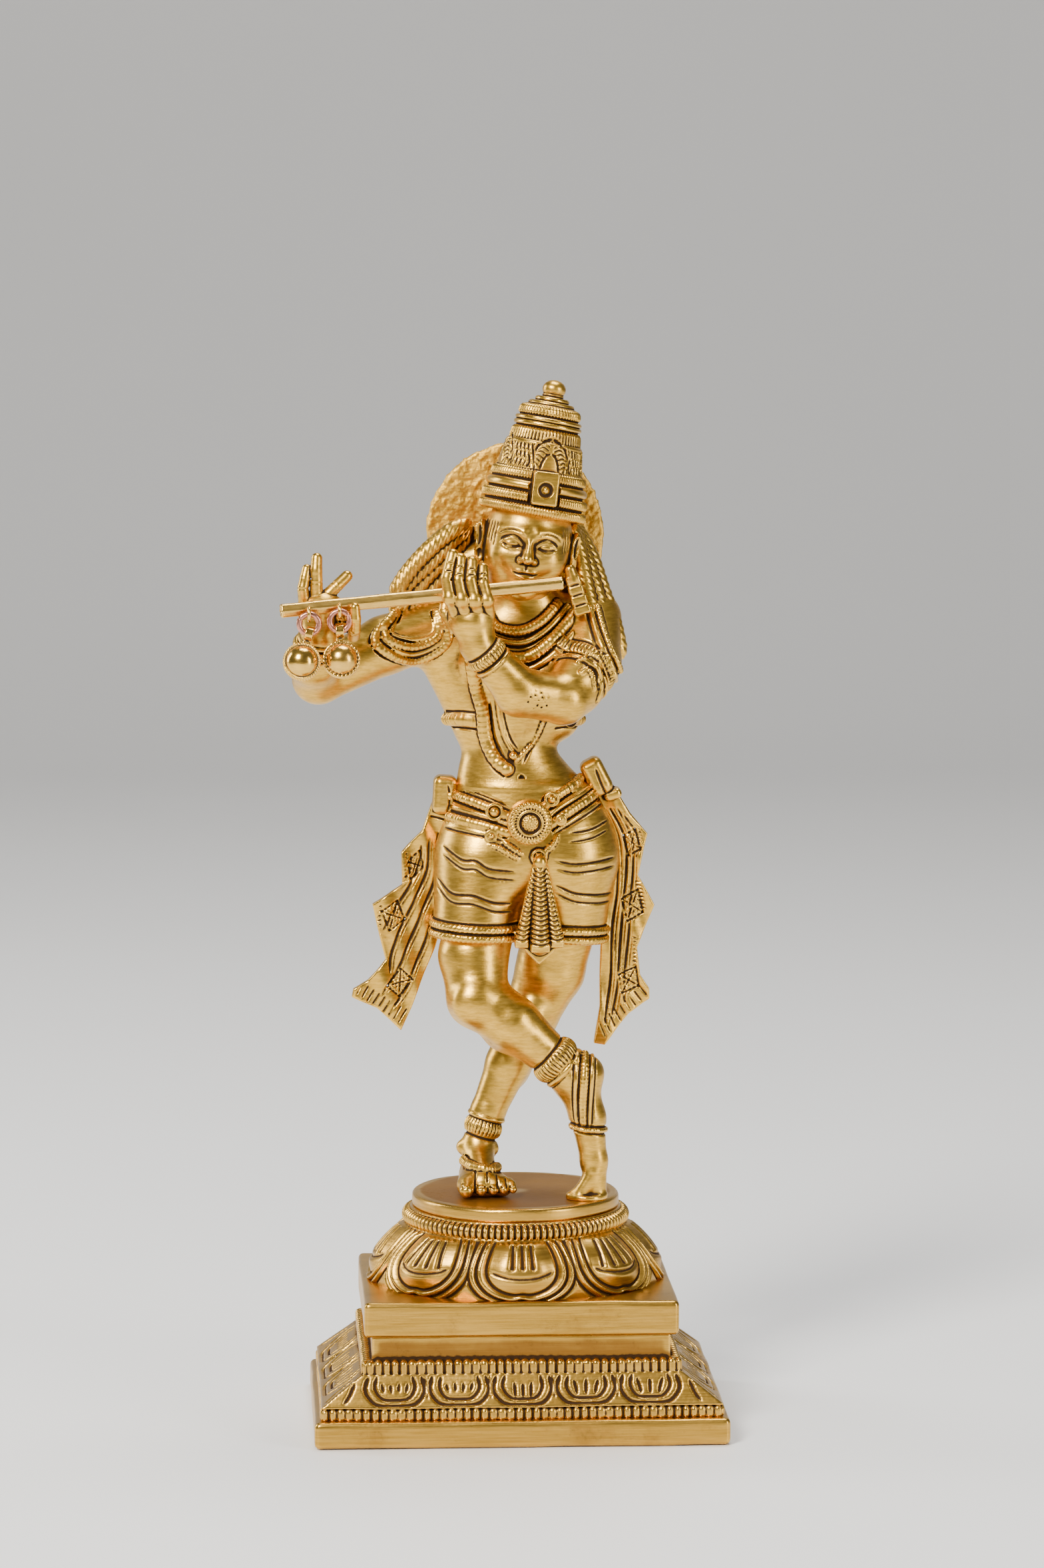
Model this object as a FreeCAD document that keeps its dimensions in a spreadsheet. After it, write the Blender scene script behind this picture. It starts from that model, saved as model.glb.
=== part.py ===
import FreeCAD, Part
import math
import os
from FreeCAD import Placement, Rotation, Vector

# A brass flute player on a stepped lotus base, with two small bells hung from the flute.
# Millimetres, +Z up, front towards -Y. The origin is the middle of the base's footprint, on the
# surface that it stands on. Left and right are the figure's own: its right hand is on the -X side.

SIZES = {
    # lower plinth, from the table up
    "plinth_length": 120.0,
    "plinth_depth": 88.0,
    "plinth_slab_height": 7.8,
    "low_bead_inset": 1.6,
    "low_bead_height": 3.6,
    "slope_height": 8.7,
    "slope_run_side": 12.0,
    "slope_run_front": 4.2,
    "high_bead_height": 4.4,
    "neck_inset": 3.2,
    "neck_height": 6.7,
    "plinth_wall": 5.5,
    "plinth_top_plate": 7.2,
    # lotus pedestal and the disc the figure stands on
    "pedestal_length": 91.0,
    "pedestal_depth": 76.0,
    "pedestal_slab_height": 10.2,
    "lotus_low_radius": 45.2,
    "lotus_high_radius": 34.0,
    "lotus_height": 16.7,
    "bead_ring_radius": 32.8,
    "bead_ring_height": 4.8,
    "pedestal_cavity_radius": 26.0,
    "pedestal_cavity_height": 20.0,
    "disc_radius": 30.5,
    "disc_height": 4.2,
    # the stud that clamps the tiers together
    "stud_radius": 3.0,
    "stud_clearance": 0.4,
    "stud_in_disc": 3.0,
    "stud_below_nut": 2.0,
    "washer_radius": 8.0,
    "washer_height": 1.6,
    "nut_flats_radius": 5.8,
    "nut_height": 5.0,
    # feet
    "foot_length": 28.0,
    "foot_width": 17.0,
    "foot_height": 13.0,
    "toe_pad_radius": 6.0,
    "toe_pad_height": 1.2,
    # head, crown and halo
    "head_width": 27.0,
    "head_depth": 28.4,
    "head_height": 34.0,
    "head_lean": 9.0,
    "crown_lean": 10.5,
    "crown_tilt": 3.0,
    "finial_radius": 3.3,
    "halo_radius": 26.4,
    "halo_thickness": 2.4,
    "halo_stub_radius": 4.5,
    "halo_stub_length": 8.0,
    "ear_drop_radius": 2.6,
    "ear_drop_height": 13.0,
    # dress
    "medallion_radius": 6.3,
    "medallion_depth": 8.0,
    "tassel_depth": 6.0,
    "sash_thickness": 2.2,
    "knot_width": 6.5,
    "knot_height": 15.0,
    # flute, rings and bells
    "flute_radius": 2.05,
    "palm_width": 16.0,
    "palm_depth": 8.0,
    "palm_height": 17.0,
    "fist_width": 12.5,
    "fist_depth": 9.0,
    "fist_height": 22.0,
    "ring_radius": 2.8,
    "ring_wire": 0.85,
    "ring_gap": 0.4,
    "ring_below_axis": 1.4,
    "outer_ring_along": 8.2,
    "link_play": 0.45,
    "eyelet_wire": 0.55,
    "loop_wire": 0.45,
    "bell_radius": 4.7,
    "bell_wall": 0.7,
    "bell_flange": 0.7,
    "bell_flange_height": 0.8,
    "bell_slit": 1.1,
    "bell_neck": 2.9,
    "bell_gap": 0.6,
    "bell_tilt": 14.0,
    "outer_bell_lean": 15.0,
    "inner_bell_lean": -3.0,
    "bell_tab_width": 2.4,
    "pellet_radius": 1.6,
    "pellet_clearance": 0.3,
}

# Points of the limbs: x, y, height above the disc, and the radius of the limb there.
POINTS = {
    "left_ankle": (-11.0, 3.0, 13.0, 4.6),
    "left_shin": (-8.0, 3.2, 23.0, 5.0),
    "left_calf": (-2.0, 4.2, 37.0, 6.6),
    "left_knee": (4.5, 5.0, 51.0, 8.6),
    "left_thigh": (10.5, 4.0, 65.0, 10.4),
    "left_hip": (13.5, 3.0, 80.0, 12.0),
    "right_hip": (-9.5, -2.5, 84.0, 10.8),
    "right_thigh": (-12.6, -8.0, 71.0, 10.0),
    "right_knee": (-11.5, -12.5, 59.0, 9.0),
    "right_calf": (-1.5, -15.0, 52.0, 8.2),
    "right_ankle": (11.5, -15.0, 41.0, 6.4),
    "right_heel": (20.0, -14.0, 37.5, 5.6),
    "right_instep": (20.6, -14.0, 24.0, 5.2),
    "right_ball": (22.3, -14.0, 11.0, 4.5),
    "right_toe": (23.2, -14.0, 0.6, 3.4),
    "left_shoulder": (22.0, 1.0, 168.5, 9.3),
    "left_upper_arm": (21.5, -8.0, 157.0, 8.8),
    "left_elbow": (13.0, -19.0, 147.0, 7.6),
    "left_forearm": (0.0, -23.5, 149.0, 7.3),
    "left_wrist": (-12.0, -27.0, 162.5, 5.0),
    "right_shoulder": (-20.0, 1.0, 167.5, 9.6),
    "right_upper_arm": (-38.0, -4.0, 162.5, 9.0),
    "right_elbow": (-59.0, -10.0, 152.5, 8.2),
    "right_forearm": (-59.5, -19.0, 157.5, 7.3),
    "right_wrist": (-58.5, -23.6, 165.5, 6.0),
    "index_base": (-59.0, -24.5, 176.0, 2.3),
    "index_tip": (-57.5, -24.0, 188.0, 1.6),
    "middle_base": (-62.0, -24.5, 175.0, 2.3),
    "middle_tip": (-63.0, -24.5, 184.5, 1.7),
    "thumb_base": (-52.0, -24.5, 176.0, 2.4),
    "thumb_tip": (-46.5, -24.0, 182.5, 1.9),
}

# Ellipses of the body, upwards: x, y, height above the disc, half width and half depth.
HIP_SECTIONS = [
    (0.6, -2.0, 74.0, 25.4, 13.0),
    (4.5, -1.0, 98.0, 26.2, 15.5),
    (3.4, 0.0, 115.0, 22.4, 14.2),
    (2.2, 0.0, 121.0, 19.6, 13.0),
]
TORSO_SECTIONS = [
    (2.2, 0.0, 121.0, 19.6, 13.0),
    (-1.9, 0.0, 132.0, 13.2, 10.0),
    (0.0, -0.5, 142.0, 18.2, 11.5),
    (2.0, 0.0, 158.0, 21.5, 12.5),
    (3.0, 0.5, 169.0, 20.0, 11.0),
    (3.2, 0.0, 176.0, 10.0, 8.8),
    (3.0, -1.0, 181.0, 7.0, 6.8),
]

# Tiers of the crown, upwards: height, radius at the bottom and at the top.
CROWN_TIERS = [
    (4.8, 15.0, 15.5),
    (5.0, 15.4, 13.9),
    (6.8, 12.6, 11.9),
    (6.0, 11.0, 9.7),
    (5.4, 9.6, 8.9),
    (4.4, 9.0, 8.5),
    (1.8, 7.4, 6.9),
    (2.0, 4.8, 4.4),
]

CENTRES = {
    "left_foot": (-10.5, -3.0, 3.4),
    "head": (3.2, -4.6, 191.5),
    "crown": (4.0, -3.6, 196.5),
    "halo": (1.0, 13.0, 193.2),
    "left_ear_drop": (17.6, -7.0, 172.0),
    "right_ear_drop": (-11.4, -7.0, 172.0),
    "medallion": (3.3, -18.6, 111.0),
    "left_knot": (24.0, 3.0, 120.0),
    "right_knot": (-20.6, 3.0, 115.0),
    "right_palm": (-55.5, -24.4, 172.0),
    "left_fist": (-12.5, -26.4, 176.0),
}

# Outlines across the front, x and height above the disc.
TASSEL_OUTLINE = [(5.2, 98.0), (9.4, 98.0), (14.6, 71.5), (10.6, 69.6), (8.0, 66.4), (5.2, 69.6), (-0.4, 71.5)]
RIGHT_SASH_OUTLINE = [
    (-18.0, 118.0), (-17.0, 107.0), (-20.0, 84.0), (-23.5, 72.0), (-30.5, 54.0), (-33.6, 47.6), (-40.5, 54.0),
    (-47.8, 57.4), (-47.4, 59.6), (-43.2, 62.0), (-37.8, 68.2), (-38.6, 72.0), (-41.6, 84.6), (-33.0, 90.4),
    (-33.2, 100.0), (-27.0, 106.4), (-23.0, 118.0),
]
LEFT_SASH_OUTLINE = [
    (21.0, 126.0), (24.0, 116.0), (28.0, 101.0), (27.0, 88.0), (25.4, 72.0), (25.2, 54.0), (23.4, 43.0),
    (26.4, 42.6), (33.4, 52.0), (39.4, 56.2), (39.4, 59.2), (36.8, 63.2), (35.8, 71.6), (40.8, 84.0),
    (36.0, 92.8), (39.0, 105.0), (33.8, 111.2), (27.4, 121.6), (24.6, 127.4),
]
SASH_PLANE = 4.0

# Ends of the flute: x, y and height above the disc.
FLUTE_ENDS = [(-68.5, -32.0, 173.9), (12.5, -20.0, 180.6)]

BELLS = ["outer", "inner"]

doc = FreeCAD.newDocument("flute_player")
sheet = doc.addObject("Spreadsheet::Sheet", "Sizes")
nodes = []


def put(row, name, value):
    """One driving number in the sheet, under its own alias."""
    sheet.set("A%d" % row, name)
    sheet.set("B%d" % row, repr(value))
    sheet.setAlias("B%d" % row, name)


def fill_sheet():
    rows = dict(SIZES)
    for point, (x, y, height, radius) in POINTS.items():
        rows[point + "_x"] = x
        rows[point + "_y"] = y
        rows[point + "_height"] = height
        rows[point + "_radius"] = radius
    for row, (name, value) in enumerate(rows.items(), start=1):
        put(row, name, value)
    doc.recompute()


def size(name):
    return float(sheet.get(name))


def make(kind, name, place=None, **bound):
    """A document object whose sizes are bound to the sheet, each by an expression."""
    piece = doc.addObject(kind, name)
    for prop, expression in bound.items():
        piece.setExpression(prop, expression)
    if place is not None:
        piece.Placement = place
    return piece


def at(x, y, z, rotation=None):
    return Placement(Vector(x, y, z), rotation or Rotation())


def fuse(name, pieces):
    if len(pieces) == 1:
        return pieces[0]
    whole = doc.addObject("Part::MultiFuse", name)
    whole.Shapes = pieces
    return whole


def cut(name, base, *tools):
    """The base less each tool in turn, so that brazed pieces meet face to face."""
    for tool in tools:
        rest = doc.addObject("Part::Cut", name + "_less_" + tool.Name)
        rest.Base = base
        rest.Tool = tool
        base = rest
    return base


def node(label, piece):
    """Marks a finished sub-part: its label names its file."""
    piece.Label = label
    nodes.append(piece)
    return piece


def stand_height():
    """Top of the disc that the figure stands on."""
    tiers = ["plinth_slab_height", "low_bead_height", "slope_height", "high_bead_height", "neck_height"]
    tiers += ["pedestal_slab_height", "lotus_height", "bead_ring_height", "disc_height"]
    return sum(size(tier) for tier in tiers)


def plinth_height():
    tiers = ["plinth_slab_height", "low_bead_height", "slope_height", "high_bead_height", "neck_height"]
    return sum(size(tier) for tier in tiers)


def block(name, length, depth, z, height):
    """A box centred on the Z axis; length and depth are expressions, z is a number."""
    piece = make("Part::Box", name, Length=length, Width=depth, Height=height)
    piece.setExpression("Placement.Base.x", "-(%s) / 2" % length)
    piece.setExpression("Placement.Base.y", "-(%s) / 2" % depth)
    piece.Placement.Base.z = z
    return piece


def frustum(name, low, high, z, height):
    """A four-sided frustum; low and high are (length, depth) in numbers, height is an expression."""
    piece = doc.addObject("Part::Wedge", name)
    piece.Xmin, piece.Xmax = -low[0] / 2, low[0] / 2
    piece.Zmin, piece.Zmax = -low[1] / 2, low[1] / 2
    piece.X2min, piece.X2max = -high[0] / 2, high[0] / 2
    piece.Z2min, piece.Z2max = -high[1] / 2, high[1] / 2
    piece.Ymin = 0
    piece.setExpression("Ymax", height)
    piece.Placement = at(0, 0, z, Rotation(Vector(1, 0, 0), 90))
    return piece


def drill(name, z_low, z_high, radius):
    piece = make("Part::Cylinder", name, Radius=radius)
    piece.Height = z_high - z_low
    piece.Placement = at(0, 0, z_low)
    return piece


def lower_plinth():
    length, depth = size("plinth_length"), size("plinth_depth")
    inset = 2 * size("low_bead_inset")
    low = (length - inset, depth - inset)
    high = (low[0] - 2 * size("slope_run_side"), low[1] - 2 * size("slope_run_front"))
    z_bead = size("plinth_slab_height")
    z_slope = z_bead + size("low_bead_height")
    z_high_bead = z_slope + size("slope_height")
    z_neck = z_high_bead + size("high_bead_height")
    top = plinth_height()
    inset_text = "2 * Sizes.low_bead_inset"
    high_length = "Sizes.plinth_length - %s - 2 * Sizes.slope_run_side" % inset_text
    high_depth = "Sizes.plinth_depth - %s - 2 * Sizes.slope_run_front" % inset_text
    slab = block("plinth_slab", "Sizes.plinth_length", "Sizes.plinth_depth", 0, "Sizes.plinth_slab_height")
    bead = block("low_bead", "Sizes.plinth_length - " + inset_text, "Sizes.plinth_depth - " + inset_text,
                 z_bead, "Sizes.low_bead_height")
    slope = frustum("slope", low, high, z_slope, "Sizes.slope_height")
    high_bead = block("high_bead", high_length, high_depth, z_high_bead, "Sizes.high_bead_height")
    neck = block("neck", high_length + " - 2 * Sizes.neck_inset", high_depth + " - 2 * Sizes.neck_inset",
                 z_neck, "Sizes.neck_height")
    outside = fuse("plinth_outside", [slab, bead, slope, high_bead, neck])
    wall = 2 * size("plinth_wall")
    hollow_high = (high[0] - 2 * size("neck_inset") - wall, high[1] - 2 * size("neck_inset") - wall)
    hollow = frustum("plinth_hollow", (low[0] - wall, low[1] - wall), hollow_high, 0,
                     "%.6f - Sizes.plinth_top_plate" % top)
    hole = drill("plinth_hole", 0, top, "Sizes.stud_radius + Sizes.stud_clearance")
    return node("lower_plinth", cut("plinth", outside, hollow, hole))


def lotus_pedestal():
    z_slab = plinth_height()
    z_lotus = z_slab + size("pedestal_slab_height")
    z_ring = z_lotus + size("lotus_height")
    top = z_ring + size("bead_ring_height")
    slab = block("pedestal_slab", "Sizes.pedestal_length", "Sizes.pedestal_depth", z_slab,
                 "Sizes.pedestal_slab_height")
    cone = make("Part::Cone", "lotus_cone", at(0, 0, z_lotus), Radius1="Sizes.lotus_low_radius",
                Radius2="Sizes.lotus_high_radius", Height="Sizes.lotus_height")
    trim = block("lotus_trim", "2 * Sizes.lotus_low_radius", "Sizes.pedestal_depth", z_lotus,
                 "Sizes.lotus_height")
    lotus = doc.addObject("Part::MultiCommon", "lotus")
    lotus.Shapes = [cone, trim]
    ring = make("Part::Cylinder", "bead_ring", at(0, 0, z_ring), Radius="Sizes.bead_ring_radius",
                Height="Sizes.bead_ring_height")
    outside = fuse("pedestal_outside", [slab, lotus, ring])
    cavity = make("Part::Cylinder", "pedestal_cavity", at(0, 0, z_slab),
                  Radius="Sizes.pedestal_cavity_radius", Height="Sizes.pedestal_cavity_height")
    hole = drill("pedestal_hole", z_slab, top, "Sizes.stud_radius + Sizes.stud_clearance")
    return node("lotus_pedestal", cut("pedestal", outside, cavity, hole))


def foot_disc():
    bottom = stand_height() - size("disc_height")
    disc = make("Part::Cylinder", "disc", at(0, 0, bottom), Radius="Sizes.disc_radius",
                Height="Sizes.disc_height")
    hole = make("Part::Cylinder", "disc_hole", at(0, 0, bottom), Radius="Sizes.stud_radius",
                Height="Sizes.stud_in_disc")
    return node("foot_disc", cut("disc_drilled", disc, hole))


def clamp():
    """Stud, washer and nut: the nut pulls the disc down on the pedestal and the plinth."""
    ceiling = plinth_height() - size("plinth_top_plate")
    top = stand_height() - size("disc_height") + size("stud_in_disc")
    z_washer = ceiling - size("washer_height")
    z_nut = z_washer - size("nut_height")
    low = z_nut - size("stud_below_nut")
    stud = drill("stud", low, top, "Sizes.stud_radius")
    washer = make("Part::Cylinder", "washer_blank", at(0, 0, z_washer), Radius="Sizes.washer_radius",
                  Height="Sizes.washer_height")
    washer_hole = drill("washer_hole", z_washer, ceiling, "Sizes.stud_radius + Sizes.stud_clearance")
    nut = make("Part::Prism", "nut_blank", at(0, 0, z_nut), Circumradius="Sizes.nut_flats_radius",
               Height="Sizes.nut_height")
    nut.Polygon = 6
    nut_hole = drill("nut_hole", z_nut, z_washer, "Sizes.stud_radius")
    node("base_stud", stud)
    node("base_washer", cut("washer", washer, washer_hole))
    node("base_nut", cut("nut", nut, nut_hole))


def point(name):
    return Vector(size(name + "_x"), size(name + "_y"), size(name + "_height") + stand_height())


def ball(name):
    """The swelling of a limb at a point, a little fuller than the bones that meet there."""
    place = Placement(point(name), Rotation())
    return make("Part::Sphere", name, place, Radius="1.03 * Sizes.%s_radius" % name)


def bone(low, high):
    """A tapered length of limb between two points."""
    start, end = point(low), point(high)
    place = Placement(start, Rotation(Vector(0, 0, 1), end - start))
    piece = make("Part::Cone", low + "_bone", place, Radius1="Sizes.%s_radius" % low,
                 Radius2="Sizes.%s_radius" % high)
    piece.Height = (end - start).Length
    return piece


def limb(name, points):
    pieces = [ball(each) for each in points]
    pieces += [bone(low, high) for low, high in zip(points, points[1:])]
    return fuse(name, pieces)


def egg(name, centre, width, depth, height, rotation=None):
    """An ellipsoid; its three full sizes are names in the sheet."""
    x, y, rise = CENTRES[centre]
    return make("Part::Ellipsoid", name, at(x, y, rise + stand_height(), rotation),
                Radius1="Sizes.%s / 2" % height, Radius2="Sizes.%s / 2" % width,
                Radius3="Sizes.%s / 2" % depth)


def below_disc_top():
    """A block under the disc's top, which trims the soles flat."""
    piece = block("sole_trim", "4 * Sizes.disc_radius", "4 * Sizes.disc_radius", 0, "1")
    piece.setExpression("Height", "%.6f" % stand_height())
    return piece


def standing_leg(hips, sole_trim):
    leg = limb("standing_leg_bones", ["left_ankle", "left_shin", "left_calf", "left_knee", "left_thigh",
                                      "left_hip"])
    foot = egg("left_foot", "left_foot", "foot_width", "foot_length", "foot_height")
    whole = fuse("standing_leg_whole", [leg, foot])
    return node("standing_leg", cut("standing_leg", whole, hips, sole_trim))


def crossing_leg(hips, sole_trim):
    thigh = limb("crossing_thigh", ["right_hip", "right_thigh", "right_knee", "right_calf", "right_ankle",
                                    "right_heel", "right_instep", "right_ball", "right_toe"])
    pad = make("Part::Cylinder", "toe_pad", Placement(point("right_toe"), Rotation()),
               Radius="Sizes.toe_pad_radius", Height="Sizes.toe_pad_height")
    pad.Placement.Base.z = stand_height()
    pad.setExpression("Height", "Sizes.toe_pad_height")
    whole = fuse("crossing_leg_whole", [thigh, pad])
    return node("crossing_leg", cut("crossing_leg", whole, hips, sole_trim))


def body_loft(label, sections):
    """A smooth body through level ellipses."""
    rings = []
    for count, (x, y, height, half_width, half_depth) in enumerate(sections):
        ring = doc.addObject("Part::Ellipse", "%s_ring_%d" % (label, count))
        ring.MajorRadius = half_width
        ring.MinorRadius = half_depth
        ring.Placement = at(x, y, height + stand_height())
        rings.append(ring)
    loft = doc.addObject("Part::Loft", label + "_loft")
    loft.Sections = rings
    loft.Solid = True
    loft.Ruled = False
    return loft


def crown():
    """Stacked tiers and a finial ball along one leaning axis."""
    x, y, height = CENTRES["crown"]
    lean = Rotation(Vector(0, 1, 0), size("crown_lean")).multiply(Rotation(Vector(1, 0, 0), -size("crown_tilt")))
    foot = Vector(x, y, height + stand_height())
    axis = lean.multVec(Vector(0, 0, 1))
    pieces = []
    rise = 0.0
    for count, (tier_height, low, high) in enumerate(CROWN_TIERS):
        tier = doc.addObject("Part::Cone", "crown_tier_%d" % count)
        tier.Radius1, tier.Radius2, tier.Height = low, high, tier_height
        tier.Placement = Placement(foot + axis * rise, lean)
        pieces.append(tier)
        rise += tier_height
    finial = make("Part::Sphere", "finial", Radius="Sizes.finial_radius")
    finial.Placement = Placement(foot + axis * (rise + 0.75 * size("finial_radius")), lean)
    return node("crown", fuse("crown_whole", pieces + [finial]))


def head(torso, crown_piece, flute_piece):
    lean = Rotation(Vector(0, 1, 0), size("head_lean"))
    skull = egg("skull", "head", "head_width", "head_depth", "head_height", lean)
    return node("head", cut("head", skull, torso, crown_piece, flute_piece))


def halo(head_piece, crown_piece):
    x, y, height = CENTRES["halo"]
    back = Rotation(Vector(1, 0, 0), 90)
    z = height + stand_height()
    disc = make("Part::Cylinder", "halo", at(x, y + size("halo_thickness"), z, back),
                Radius="Sizes.halo_radius", Height="Sizes.halo_thickness")
    stub = make("Part::Cylinder", "halo_stub", at(x, y, z, back), Radius="Sizes.halo_stub_radius",
                Height="Sizes.halo_stub_length")
    whole = fuse("halo_whole", [disc, stub])
    return node("halo_disc", cut("halo_disc", whole, head_piece, crown_piece))


def ear_drop(side, head_piece, torso, others):
    x, y, height = CENTRES[side + "_ear_drop"]
    drop = make("Part::Cylinder", side + "_drop", at(x, y, height + stand_height()),
                Radius="Sizes.ear_drop_radius", Height="Sizes.ear_drop_height")
    return node(side + "_ear_drop", cut(side + "_ear_drop", drop, head_piece, torso, *others))


def flute():
    start, end = flute_ends()
    rod = make("Part::Cylinder", "flute", Placement(start, Rotation(Vector(0, 0, 1), end - start)),
               Radius="Sizes.flute_radius")
    rod.Height = (end - start).Length
    return node("flute", rod)


def left_arm(torso, flute_piece):
    bones = limb("left_arm_bones", ["left_shoulder", "left_upper_arm", "left_elbow", "left_forearm",
                                    "left_wrist"])
    fist = egg("left_fist", "left_fist", "fist_width", "fist_depth", "fist_height")
    whole = fuse("left_arm_whole", [bones, fist])
    return node("left_arm", cut("left_arm", whole, torso, flute_piece))


def right_arm(torso, flute_piece):
    bones = limb("right_arm_bones", ["right_shoulder", "right_upper_arm", "right_elbow", "right_forearm",
                                     "right_wrist"])
    palm = egg("right_palm", "right_palm", "palm_width", "palm_depth", "palm_height")
    fingers = [limb(each, [each + "_base", each + "_tip"]) for each in ("index", "middle", "thumb")]
    whole = fuse("right_arm_whole", [bones, palm] + fingers)
    return node("right_arm", cut("right_arm", whole, torso, flute_piece))


def plate(name, outline, y, thickness):
    """A flat cut-out across the front, from y towards the back."""
    corners = [Vector(x, y, height + stand_height()) for x, height in outline]
    wire = doc.addObject("Part::Polygon", name + "_outline")
    wire.Nodes = corners
    wire.Close = True
    sheet_piece = doc.addObject("Part::Extrusion", name)
    sheet_piece.Base = wire
    sheet_piece.DirMode = "Custom"
    sheet_piece.Dir = Vector(0, 1, 0)
    sheet_piece.Solid = True
    sheet_piece.setExpression("LengthFwd", thickness)
    return sheet_piece


def sash(side, outline, hips, torso):
    cloth = plate(side + "_cloth", outline, SASH_PLANE - size("sash_thickness") / 2, "Sizes.sash_thickness")
    seam_forward = Rotation(Vector(0, 0, 1), -90)
    knot = egg(side + "_knot", side + "_knot", "knot_width", "knot_width", "knot_height", seam_forward)
    whole = fuse(side + "_sash_whole", [cloth, knot])
    return node(side + "_sash", cut(side + "_sash", whole, hips, torso))


def waist(hips):
    """The belt's round boss, and the tassel that hangs below it."""
    x, y, height = CENTRES["medallion"]
    boss = make("Part::Cylinder", "boss", at(x, y + size("medallion_depth"), height + stand_height(),
                                             Rotation(Vector(1, 0, 0), 90)),
                Radius="Sizes.medallion_radius", Height="Sizes.medallion_depth")
    tassel = plate("tassel", TASSEL_OUTLINE, -18.2, "Sizes.tassel_depth")
    node("belt_medallion", cut("medallion", boss, hips))
    return node("waist_tassel", cut("waist_tassel", tassel, hips))


def flute_ends():
    return [Vector(x, y, height + stand_height()) for x, y, height in FLUTE_ENDS]


def bell_drop():
    """From the ring's lowest wire down to the middle of the bell."""
    return size("bell_radius") + size("bell_flange") + size("bell_neck")


def ring_along(name):
    """Place of a ring along the flute, spaced so that the leaning bells' rims stay apart."""
    if name == "outer":
        return size("outer_ring_along")
    rims = 2 * (size("bell_radius") + size("bell_flange")) + size("bell_gap")
    leans = [math.sin(math.radians(size(each + "_bell_lean"))) for each in BELLS]
    return size("outer_ring_along") + rims - bell_drop() * (leans[0] - leans[1])


def ring_hole(name):
    """Middle of the eyelet's hole: the ring hangs just in front of the flute."""
    start, end = flute_ends()
    on_axis = start + (end - start).normalize() * ring_along(name)
    forward = size("flute_radius") + size("ring_wire") + size("ring_gap")
    return on_axis - Vector(0, forward, size("ring_below_axis"))


def eyelets(flute_piece):
    sideways = Rotation(Vector(0, 1, 0), 90)
    loops = []
    for name in BELLS:
        loop = make("Part::Torus", name + "_eyelet", Placement(ring_hole(name), sideways),
                    Radius1="Sizes.ring_wire + Sizes.link_play + Sizes.eyelet_wire",
                    Radius2="Sizes.eyelet_wire")
        loops.append(cut(name + "_eyelet", loop, flute_piece))
    pair = doc.addObject("Part::Compound", "eyelets")
    pair.Links = loops
    return node("flute_eyelets", pair)


def bell_half(name):
    """Half of a bell, domed towards +Z, open at the slit: dome and flange less the inside."""
    dome = make("Part::Sphere", name + "_dome", Radius="Sizes.bell_radius")
    flange = make("Part::Cylinder", name + "_flange", Radius="Sizes.bell_radius + Sizes.bell_flange",
                  Height="Sizes.bell_flange_height")
    flange.setExpression("Placement.Base.z", "Sizes.bell_slit / 2")
    inside = make("Part::Sphere", name + "_inside", Radius="Sizes.bell_radius - Sizes.bell_wall")
    reach = "4 * Sizes.bell_radius"
    far_half = make("Part::Box", name + "_far_half", Length=reach, Width=reach, Height=reach)
    far_half.setExpression("Placement.Base.x", "-2 * Sizes.bell_radius")
    far_half.setExpression("Placement.Base.y", "-2 * Sizes.bell_radius")
    far_half.setExpression("Placement.Base.z", "Sizes.bell_slit / 2 - " + reach)
    return cut(name, fuse(name + "_solid", [dome, flange]), inside, far_half)


def bell_loop(name):
    """The loop over the ring and the tab that is brazed between the two flanges."""
    loop = make("Part::Torus", name + "_torus", Radius2="Sizes.loop_wire",
                Radius1="Sizes.ring_wire + Sizes.link_play + Sizes.loop_wire")
    loop.Placement = at(0, bell_drop(), 0, Rotation(Vector(0, 1, 0), 90))
    tab_low = size("bell_radius") - size("bell_wall") / 2
    tab_high = bell_drop() - size("ring_wire") - size("link_play") - size("loop_wire")
    tab = make("Part::Box", name + "_tab", Length="Sizes.bell_tab_width", Height="Sizes.bell_slit")
    tab.Width = tab_high - tab_low
    tab.Placement = at(-size("bell_tab_width") / 2, tab_low, -size("bell_slit") / 2)
    return fuse(name + "_solid", [loop, tab])


def bell_place(name):
    """Frame of a bell: its middle, +Y up to the loop and +Z out of the front dome."""
    tilt = math.radians(size("bell_tilt"))
    lean = math.radians(size(name + "_bell_lean"))
    pivot = ring_hole(name) - Vector(0, 0, 2 * size("ring_radius"))
    up = Vector(math.sin(lean), math.sin(tilt) * math.cos(lean), math.cos(tilt) * math.cos(lean))
    face = Vector(0, -math.cos(tilt), math.sin(tilt))
    return Placement(pivot - up * bell_drop(), Rotation(Vector(), up, face, "YZX"))


def bell(name):
    """A copper ring, and the two-shelled bell that hangs from it with its pellet."""
    hole = ring_hole(name)
    ring = make("Part::Torus", name + "_torus", Radius1="Sizes.ring_radius", Radius2="Sizes.ring_wire")
    ring.Placement = Placement(hole - Vector(0, 0, size("ring_radius")), Rotation(Vector(1, 0, 0), 90))
    place = bell_place(name)
    front = bell_half(name + "_front")
    front.Placement = place
    back = bell_half(name + "_back")
    back.Placement = place.multiply(Placement(Vector(), Rotation(Vector(0, 1, 0), 180)))
    loop = bell_loop(name + "_loop")
    loop.Placement = place
    reach = size("bell_radius") - size("bell_wall") - size("pellet_radius") - size("pellet_clearance")
    pellet = make("Part::Sphere", name + "_pellet", Radius="Sizes.pellet_radius")
    pellet.Placement = place.multiply(at(0, -reach, 0))
    node(name + "_ring", ring)
    node(name + "_bell_front", front)
    node(name + "_bell_back", back)
    node(name + "_bell_loop", loop)
    node(name + "_bell_pellet", pellet)


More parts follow.
